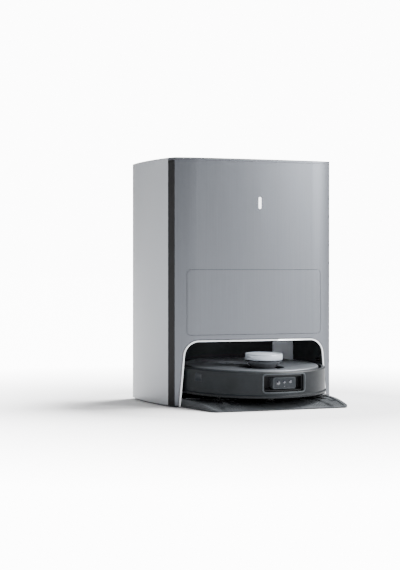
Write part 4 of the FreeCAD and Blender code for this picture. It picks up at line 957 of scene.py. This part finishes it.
# %% [markdown]
# Each mop is a plastic plate on a shaft, with a microfibre pad below it. The pad is soft, so
# it has a crowned edge that pulls in at the plate, and short loops of pile all over its
# face. The loops come from the same tree as the bristles, only short and stout. Vertex
# moves shape the pad, because it is a thin disc pressed flat under the robot.

# %% Mops
PAD_R, PAD_TOP, MOP_PLATE_R = 58.0, 6.0, 54.0
PAD_STEPS, LOOPS, RIM_LOOPS, LOOP_RING = 144, 1500, 330, PAD_R - 4
GOLDEN_ANGLE = 2.399963


def mop_pad(at, seed):
    """A crowned disc whose edge waves a little, with pile on its underside and rim."""
    draws = random.Random(seed)
    rings = []
    edge = [(0.1, 2.4), (20, 2.4), (40, 2.4), (PAD_R - 6, 2.3), (PAD_R - 3.4, 2.6)]
    edge += [(PAD_R - 2.2, 3.6), (PAD_R - 2.6, 4.8), (PAD_R - 4.6, 5.7)]
    edge += [(40, PAD_TOP), (0.1, PAD_TOP)]
    for radius, z in edge:
        ring = []
        for angle in turns(PAD_STEPS):
            wave = 0.5 * math.sin(9 * angle) if radius > 50 else 0
            quilt = 0.35 * math.sin(radius * 0.45) if 5 < radius < 50 and z < 4 else 0
            ring.append(at + spoke(angle, radius + wave, z + quilt))
        rings.append(ring)
    pad = mesh_from("pad", loft(rings, capped=True), ROBOT, finish=PILE)
    roots = []
    for i in range(LOOPS):
        radius = LOOP_RING * math.sqrt((i + 0.5) / LOOPS)
        lean = Vector((draws.uniform(-0.5, 0.5), draws.uniform(-0.5, 0.5), -0.8))
        roots.append((at + spoke(i * GOLDEN_ANGLE, radius, 3.0), lean))
    for i, angle in enumerate(turns(RIM_LOOPS)):
        out = spoke(angle, 1, -0.25 - 0.5 * (i % 2))
        roots.append((at + spoke(angle) * LOOP_RING + up(3.4 + i % 2), out))
    pile = bristles(roots, ROBOT, PILE, 1.15, 2.9, 0.7, 0.25, sides=5, tip=0.6, seed=seed)
    return merged("pad", pad, pile)


for side, seed in (("left", 11), ("right", 12)):
    body = f"{side}_mop_disc"
    at = axle_point(f"{side}_mop_spin")
    plate = [(0, PAD_TOP), (MOP_PLATE_R - 0.8, PAD_TOP), (MOP_PLATE_R, PAD_TOP + 0.8)]
    plate += [(MOP_PLATE_R, 9.0), (MOP_PLATE_R - 1.2, 9.8), (46, 10), (44, 8.6), (20, 8.6)]
    plate += [(18, 10), (8, 10), (6, 12), (5, 12.4), (5, 21), (0, 21)]
    mesh = mesh_from("plate", lathe(plate, 96, at), ROBOT)
    piece(f"{side}_mop_plate", mesh, CHASSIS_BLACK, body, f"{side}_mop")
    pad = piece(f"{side}_mop_pad", mop_pad(at, seed), None, body, f"{side}_mop")

# %% [markdown]
# The drive tyres have lugs in a V, so that they climb the ramp. The band is a lathe about
# the axle. One tree sets lugs round it: a circle of points, and a small block on each, aimed
# straight out and skewed one way for each half of the band.

# %% Tree for lugs in a ring
lug_sizes = "radius lug_length lug_width lug_height skew offset phase"
lug_tree, given = new_tree("ring_of_lugs", lug_sizes, "count")
ring = {"Vertices": given["Count"], "Radius": given["Radius"]}
ring = add(lug_tree, "GeometryNodeMeshCircle", ring).outputs[0]
turn = add(lug_tree, "ShaderNodeCombineXYZ", {"Z": given["Phase"]}).outputs[0]
shift = add(lug_tree, "ShaderNodeCombineXYZ", {"Z": given["Offset"]}).outputs[0]
lug_size = {"X": given["Lug Width"], "Y": given["Lug Length"], "Z": given["Lug Height"]}
lug_size = add(lug_tree, "ShaderNodeCombineXYZ", lug_size).outputs[0]
cube = add(lug_tree, "GeometryNodeMeshCube", {"Size": lug_size}).outputs[0]
spot = add(lug_tree, "GeometryNodeInputPosition").outputs[0]
outwards = add(lug_tree, "FunctionNodeAlignRotationToVector", {"Vector": spot}, axis="Z").outputs[0]
lengthwise = {"Rotation": outwards, "Vector": (0, 0, 1)}
pivot = {"axis": "Y", "pivot_axis": "Z"}
lengthwise = add(lug_tree, "FunctionNodeAlignRotationToVector", lengthwise, **pivot)
skewed = add(lug_tree, "ShaderNodeCombineXYZ", {"Z": given["Skew"]}).outputs[0]
skewed = {"Rotation": lengthwise.outputs[0], "Rotate By": skewed}
skewed = add(lug_tree, "FunctionNodeRotateRotation", skewed, rotation_space="LOCAL")
set_round = {"Points": ring, "Instance": cube, "Rotation": skewed.outputs[0]}
set_round = add(lug_tree, "GeometryNodeInstanceOnPoints", set_round).outputs[0]
set_round = {"Geometry": set_round, "Translation": shift, "Rotation": turn}
set_round = add(lug_tree, "GeometryNodeTransform", set_round).outputs[0]
end_tree(lug_tree, set_round, given["Finish"])


def lugs(home, finish, **sizes):
    """A ring of lugs about the Z axis of home, with lengths in millimetres."""
    scale = dict.fromkeys(sizes, MM) | {"count": 1, "skew": 1, "phase": 1}
    values = {key: value * scale[key] for key, value in sizes.items()}
    made = run_tree(lug_tree, bpy.data.meshes.new("none"), finish=finish, **values)
    made.transform(home)
    return made


print("tree", lug_tree.name, "nodes", len(lug_tree.nodes))

# %% Drive tyres
LUGS, LUG_DEPTH, LUG_SKEW = 40, 1.3, math.radians(28)
for side in ("left", "right"):
    hub_low, hub_high = span(f"{side}_wheel", ROBOT)
    tyre_at = middle(f"{side}_tyre", ROBOT)
    inner = (hub_high.z - hub_low.z) / 2
    outer, half = TYRE_RADIUS / MM, (tyre_high.x - tyre_low.x) / 2 / MM
    tread = outer - LUG_DEPTH
    band = [(inner, -half), (outer - 2.6, -half), (outer - 1.5, -half + 1.2), (tread, -half + 2.4)]
    band += [(tread, -0.9), (outer - 2.2, -0.5)]
    axle = (tyre_at.x, tyre_at.y, tyre_at.z)
    mesh = mesh_from("band", lathe(mirrored(band), 96, axle, "X"), ROBOT, finish=RUBBER)
    home = ROBOT @ Matrix.Translation(tyre_at * MM) @ Matrix.Rotation(math.pi / 2, 4, "Y")
    size = {"count": LUGS, "lug_length": 7.6, "lug_width": 2.2, "lug_height": LUG_DEPTH + 0.3}
    size["radius"] = outer - LUG_DEPTH / 2 - 0.25
    rows = []
    for sign in (-1, 1):
        lean = {"skew": sign * LUG_SKEW, "phase": (sign + 1) * math.pi / LUGS / 2}
        rows.append(lugs(home, RUBBER, offset=sign * half * 0.47, **lean, **size))
    mesh = merged("tyre", mesh, *rows)
    piece(f"{side}_tyre_tread", mesh, None, f"{side}_drive_wheel", f"{side}_tyre")

# %% [markdown]
# The tanks are filled through screw caps. A cap is a lathe with a grip of ribs round it,
# from the same tree as the lugs, on a blue seal.

# %% Tank caps
TANK_TOP, CAP_R, CAP_Y = 466.0, 22.4, -8
CAP_PROFILE = [(0, -0.5), (21, -0.5), (21, 1.5), (CAP_R, 2.2), (CAP_R, 9), (21.6, 10.2)]
CAP_PROFILE += [(20, 10.6), (17, 10.2), (16, 9.4), (0, 9.4)]
SEAL_PROFILE = [(20.6, -0.3), (23.2, -0.3), (23.6, 0.7), (22.8, 1.5), (20.6, 1.5)]
GRIP_OUTLINE = [(-13, -2), (-12, -3), (12, -3), (13, -2), (13, 2), (12, 3), (-12, 3), (-13, 2)]
for side in ("clean", "dirty"):
    body = f"{side}_tank"
    at = Vector((middle(f"{side}_water_tank").x, CAP_Y, 0))
    profile = [(radius, TANK_TOP + height) for radius, height in CAP_PROFILE]
    cap_mesh = mesh_from("cap", lathe(profile, 96, at), finish=TAB_GREY)
    home = Matrix.Translation(Vector((at.x, at.y, TANK_TOP + 5.6)) * MM)
    sizes = {"count": 48, "radius": CAP_R, "lug_length": 6.4, "lug_width": 1.3, "lug_height": 1.2}
    ribs = lugs(home, TAB_GREY, skew=0.0, offset=0, phase=0.0, **sizes)
    bar = [Vector((at.x + x, at.y + y, 0)) for x, y in GRIP_OUTLINE]
    rings = [[p + up(z) for p in bar] for z in (TANK_TOP + 9, TANK_TOP + 13.4)]
    rings.append([at + (p - at) * 0.93 + up(TANK_TOP + 14.2) for p in bar])
    grip = mesh_from("grip", loft(rings, capped=True), finish=TAB_GREY)
    piece(f"{side}_tank_cap", merged("cap", cap_mesh, ribs, grip), None, body)
    seal = [(radius, TANK_TOP + height) for radius, height in SEAL_PROFILE]
    piece(f"{side}_tank_seal", mesh_from("seal", lathe(seal, 96, at)), SEAL_BLUE, body)

# %% [markdown]
# The dust bag is pressed fleece round a card collar: a pillow with a flat front and back,
# folded gussets in its sides, and creases where it was packed. It starts as a fine box. Its
# sides are drawn in to a fold, its faces are crowned, and smooth noise adds the creases.

# %% Dust bag
def dust_bag():
    """A pillow with gussets inside the CAD bag's box."""
    low, high = span("dust_bag")
    centre, half = (low + high) / 2, (high - low) / 2
    work = bmesh.new()
    bmesh.ops.create_cube(work, size=2)
    bmesh.ops.subdivide_edges(work, edges=work.edges, cuts=47, use_grid_fill=True)
    for vertex in work.verts:
        x, y, z = vertex.co
        rim = max(abs(x), abs(z))
        thick = (1 - rim**4 * 0.42) * (0.96 + 0.04 * math.cos(3 * x) * math.cos(2 * z))
        corner = 1 - 0.06 * (abs(x * z)) ** 3
        fold = 0.055 * (1 - abs(y)) * rim**10
        crease = noise.noise(Vector((x * 2.3, y * 1.7, z * 2.6))) * 0.05
        crease += noise.noise(Vector((x * 7, y * 5, z * 8))) * 0.018
        flat_x = x * corner * (1 - fold) * 0.985
        flat_z = z * corner * (1 - fold * 1.3) * 0.985
        deep = y * min(max(thick + crease * (1.2 - rim), 0.3), 1) * 0.985
        spot = Vector((flat_x * half.x, deep * half.y, flat_z * half.z)) + centre
        vertex.co = spot * MM
    bmesh.ops.recalc_face_normals(work, faces=work.faces)
    mesh = bpy.data.meshes.new("bag")
    work.to_mesh(mesh)
    work.free()
    mesh.shade_smooth()
    return mesh


bag = piece("dust_bag_pillow", dust_bag(), FLEECE, "bag", "dust_bag")

# %% [markdown]
# Screws hold the rear panel and the robot's underside. A tree puts a pan head on each point,
# aimed along the point's stored direction, with a dark cross sunk in it.

# %% Tree for screws
screw_sizes, screw_finishes = "head_radius head_height", "finish cross_finish"
screw_tree, given = new_tree("screw_heads", screw_sizes, "", screw_finishes)
head = {"Vertices": 20, "Radius Top": 0.72, "Radius Bottom": 1.0, "Depth": 1.0}
head = add(screw_tree, "GeometryNodeMeshCone", head).outputs[0]
arms = []
for wide, long in ((0.22, 1.0), (1.0, 0.22)):
    arm = add(screw_tree, "GeometryNodeMeshCube", {"Size": (wide, long, 0.1)}).outputs[0]
    arm = {"Geometry": arm, "Translation": (0, 0, 1.0)}
    arms.append(add(screw_tree, "GeometryNodeTransform", arm).outputs[0])
cross = add(screw_tree, "GeometryNodeJoinGeometry")
for arm in arms:
    screw_tree.links.new(arm, cross.inputs[0])
cross = {"Geometry": cross.outputs[0], "Material": given["Cross Finish"]}
cross = add(screw_tree, "GeometryNodeSetMaterial", cross).outputs[0]
aim = add(screw_tree, "GeometryNodeInputNamedAttribute", GROWTH, **DIRECTION).outputs[0]
aim = add(screw_tree, "FunctionNodeAlignRotationToVector", {"Vector": aim}, axis="Z").outputs[0]
head_size = {"X": given["Head Radius"], "Y": given["Head Radius"], "Z": given["Head Height"]}
head_size = add(screw_tree, "ShaderNodeCombineXYZ", head_size).outputs[0]
both = add(screw_tree, "GeometryNodeJoinGeometry")
for part, finish in ((head, given["Finish"]), (cross, None)):
    placed = {"Points": given["Geometry"], "Instance": part, "Rotation": aim, "Scale": head_size}
    placed = add(screw_tree, "GeometryNodeInstanceOnPoints", placed).outputs[0]
    if finish:
        real = add(screw_tree, "GeometryNodeRealizeInstances", {"Geometry": placed}).outputs[0]
        placed = add(screw_tree, "GeometryNodeSetMaterial", {"Geometry": real, "Material": finish})
        placed = placed.outputs[0]
    screw_tree.links.new(placed, both.inputs[0])
real = add(screw_tree, "GeometryNodeRealizeInstances", {"Geometry": both.outputs[0]})
add(screw_tree, "NodeGroupOutput", {"Geometry": real.outputs[0]})


def screws(spots, way, home):
    """Screw heads at spots in millimetres, all facing one way."""
    base = directed("spots", [(spot, way) for spot in spots], home)
    sizes = {"head_radius": 3.2 * MM, "head_height": 0.6 * MM}
    return run_tree(screw_tree, base, finish=STEEL, cross_finish=BAY_BLACK, **sizes)


print("tree", screw_tree.name, "nodes", len(screw_tree.nodes))

# %% Screws
SINK = 0.05  # each head is let in this far
rear = span("rear_panel")[1].y
spots = [(x, rear - SINK, z) for x in (-175, 0, 175) for z in (26, 330, 552)]
piece("rear_screws", screws(spots, (0, 1, 0), STATION), None, "station")
chassis_low = span("robot_chassis", ROBOT)[0].z
spots = [(x, y, chassis_low + SINK) for x in (-140, 140) for y in (-54, 62)]
spots += [(x, y, chassis_low + SINK) for x in (-22, 22) for y in (-150, 158)]
piece("chassis_screws", screws(spots, (0, 0, -1), ROBOT), None, "robot")

# %% [markdown]
# A pale floor lies under soft light: a broad low-contrast sun from the right, one tall bank
# to the right of the front, which the brushed front mirrors as a gradient, a small strip in
# the top of the bay, and a low fill on the left. The surroundings look white to the camera,
# but are darker in reflections, as they are between the panels of a real studio.

# %% Camera, floor and lights
def lamp(name, kind, power, at, aim=(0, 0, 0.3), shiny=True, **settings):
    """A light at a point, turned towards another; shiny shows it in reflections."""
    light = bpy.data.lights.new(name, kind)
    light.energy = power
    for key, value in settings.items():
        setattr(light, key, value)
    holder = bpy.data.objects.new(name, light)
    holder.visible_glossy = shiny
    holder.visible_camera = False
    holder.location = at
    holder.rotation_euler = (Vector(aim) - Vector(at)).to_track_quat("-Z", "Y").to_euler()
    bpy.context.scene.collection.objects.link(holder)


def surroundings(diffuse, glossy, seen):
    """White surroundings, with one strength each for soft light, reflections and the camera."""
    world = bpy.data.worlds.new("studio")
    bpy.context.scene.world = world
    world.use_nodes = True
    tree = world.node_tree
    back = tree.nodes["Background"]
    back.inputs["Color"].default_value = (1, 1, 1, 1)
    rays = add(tree, "ShaderNodeLightPath").outputs
    strength = {"Value": rays["Is Glossy Ray"], "To Min": diffuse, "To Max": glossy}
    strength = add(tree, "ShaderNodeMapRange", strength).outputs[0]
    strength = {0: rays["Is Camera Ray"], 2: strength, 3: seen}
    strength = add(tree, "ShaderNodeMix", strength, data_type="FLOAT").outputs[0]
    tree.links.new(strength, back.inputs["Strength"])


LENS_MM, FILM_MM = 97.8, 36
YAW, PITCH = math.radians(22.54), math.radians(0.54)
EYE = (-1.5148, -3.3811, 0.3167)
lens = bpy.data.cameras.new("view")
lens.lens, lens.sensor_width = LENS_MM, FILM_MM
viewer = bpy.data.objects.new("view", lens)
viewer.location = EYE
viewer.rotation_euler = (math.pi / 2 - PITCH, 0, -YAW)
bpy.context.scene.collection.objects.link(viewer)
bpy.context.scene.camera = viewer

FLOOR_REACH = 60
corners = [(-FLOOR_REACH, -FLOOR_REACH, 0), (FLOOR_REACH, -FLOOR_REACH, 0)]
corners += [(FLOOR_REACH, FLOOR_REACH, 0), (-FLOOR_REACH, FLOOR_REACH, 0)]
ground = bpy.data.meshes.new("floor")
ground.from_pydata(corners, [], [(0, 1, 2, 3)])
GLOW_FROM, GLOW_TO, GLOW_MOST = 0.42, 1.5, 9.0
paper, paper_tree, paper_shader, place = new_finish("matt_white_paper", "#F6F6F7", 0.95)
# Away from the object the paper glows until it looks as white as the background. Only the
# camera sees the glow, so it lights nothing and shows in no reflection.
far = add(paper_tree, "ShaderNodeVectorMath", {0: place}, operation="LENGTH").outputs["Value"]
glow = {"Value": far, "From Min": GLOW_FROM, "From Max": GLOW_TO, "To Max": GLOW_MOST}
glow = add(paper_tree, "ShaderNodeMapRange", glow).outputs[0]
seen_by = add(paper_tree, "ShaderNodeLightPath").outputs["Is Camera Ray"]
glow = add(paper_tree, "ShaderNodeMath", {0: glow, 1: seen_by}, operation="MULTIPLY").outputs[0]
paper_tree.links.new(glow, paper_shader.inputs["Emission Strength"])
paper_shader.inputs["Emission Color"].default_value = (1, 1, 1, 1)
ground.materials.append(paper)
floor = bpy.data.objects.new("floor", ground)
bpy.context.scene.collection.objects.link(floor)

lamp("soft_sun", "SUN", 12.0, (2.0, 0.5, 3.4), angle=math.radians(34))
bank = {"shape": "RECTANGLE", "size": 1.5, "size_y": 2.2}
lamp("right_bank", "AREA", 190, (2.4, -2.6, 1.75), **bank)
strip = {"shape": "RECTANGLE", "size": 0.26, "size_y": 0.02, "shiny": False}
lamp("bay_strip", "AREA", 0.35, (0, -0.05, 0.149), (0.06, 0.08, 0.1), **strip)
lamp("left_fill", "AREA", 14, (-3.2, 0.9, 1.7), shiny=False, **bank)
surroundings(0.6, 0.1, 12.0)
print("camera, floor and lights are in place")
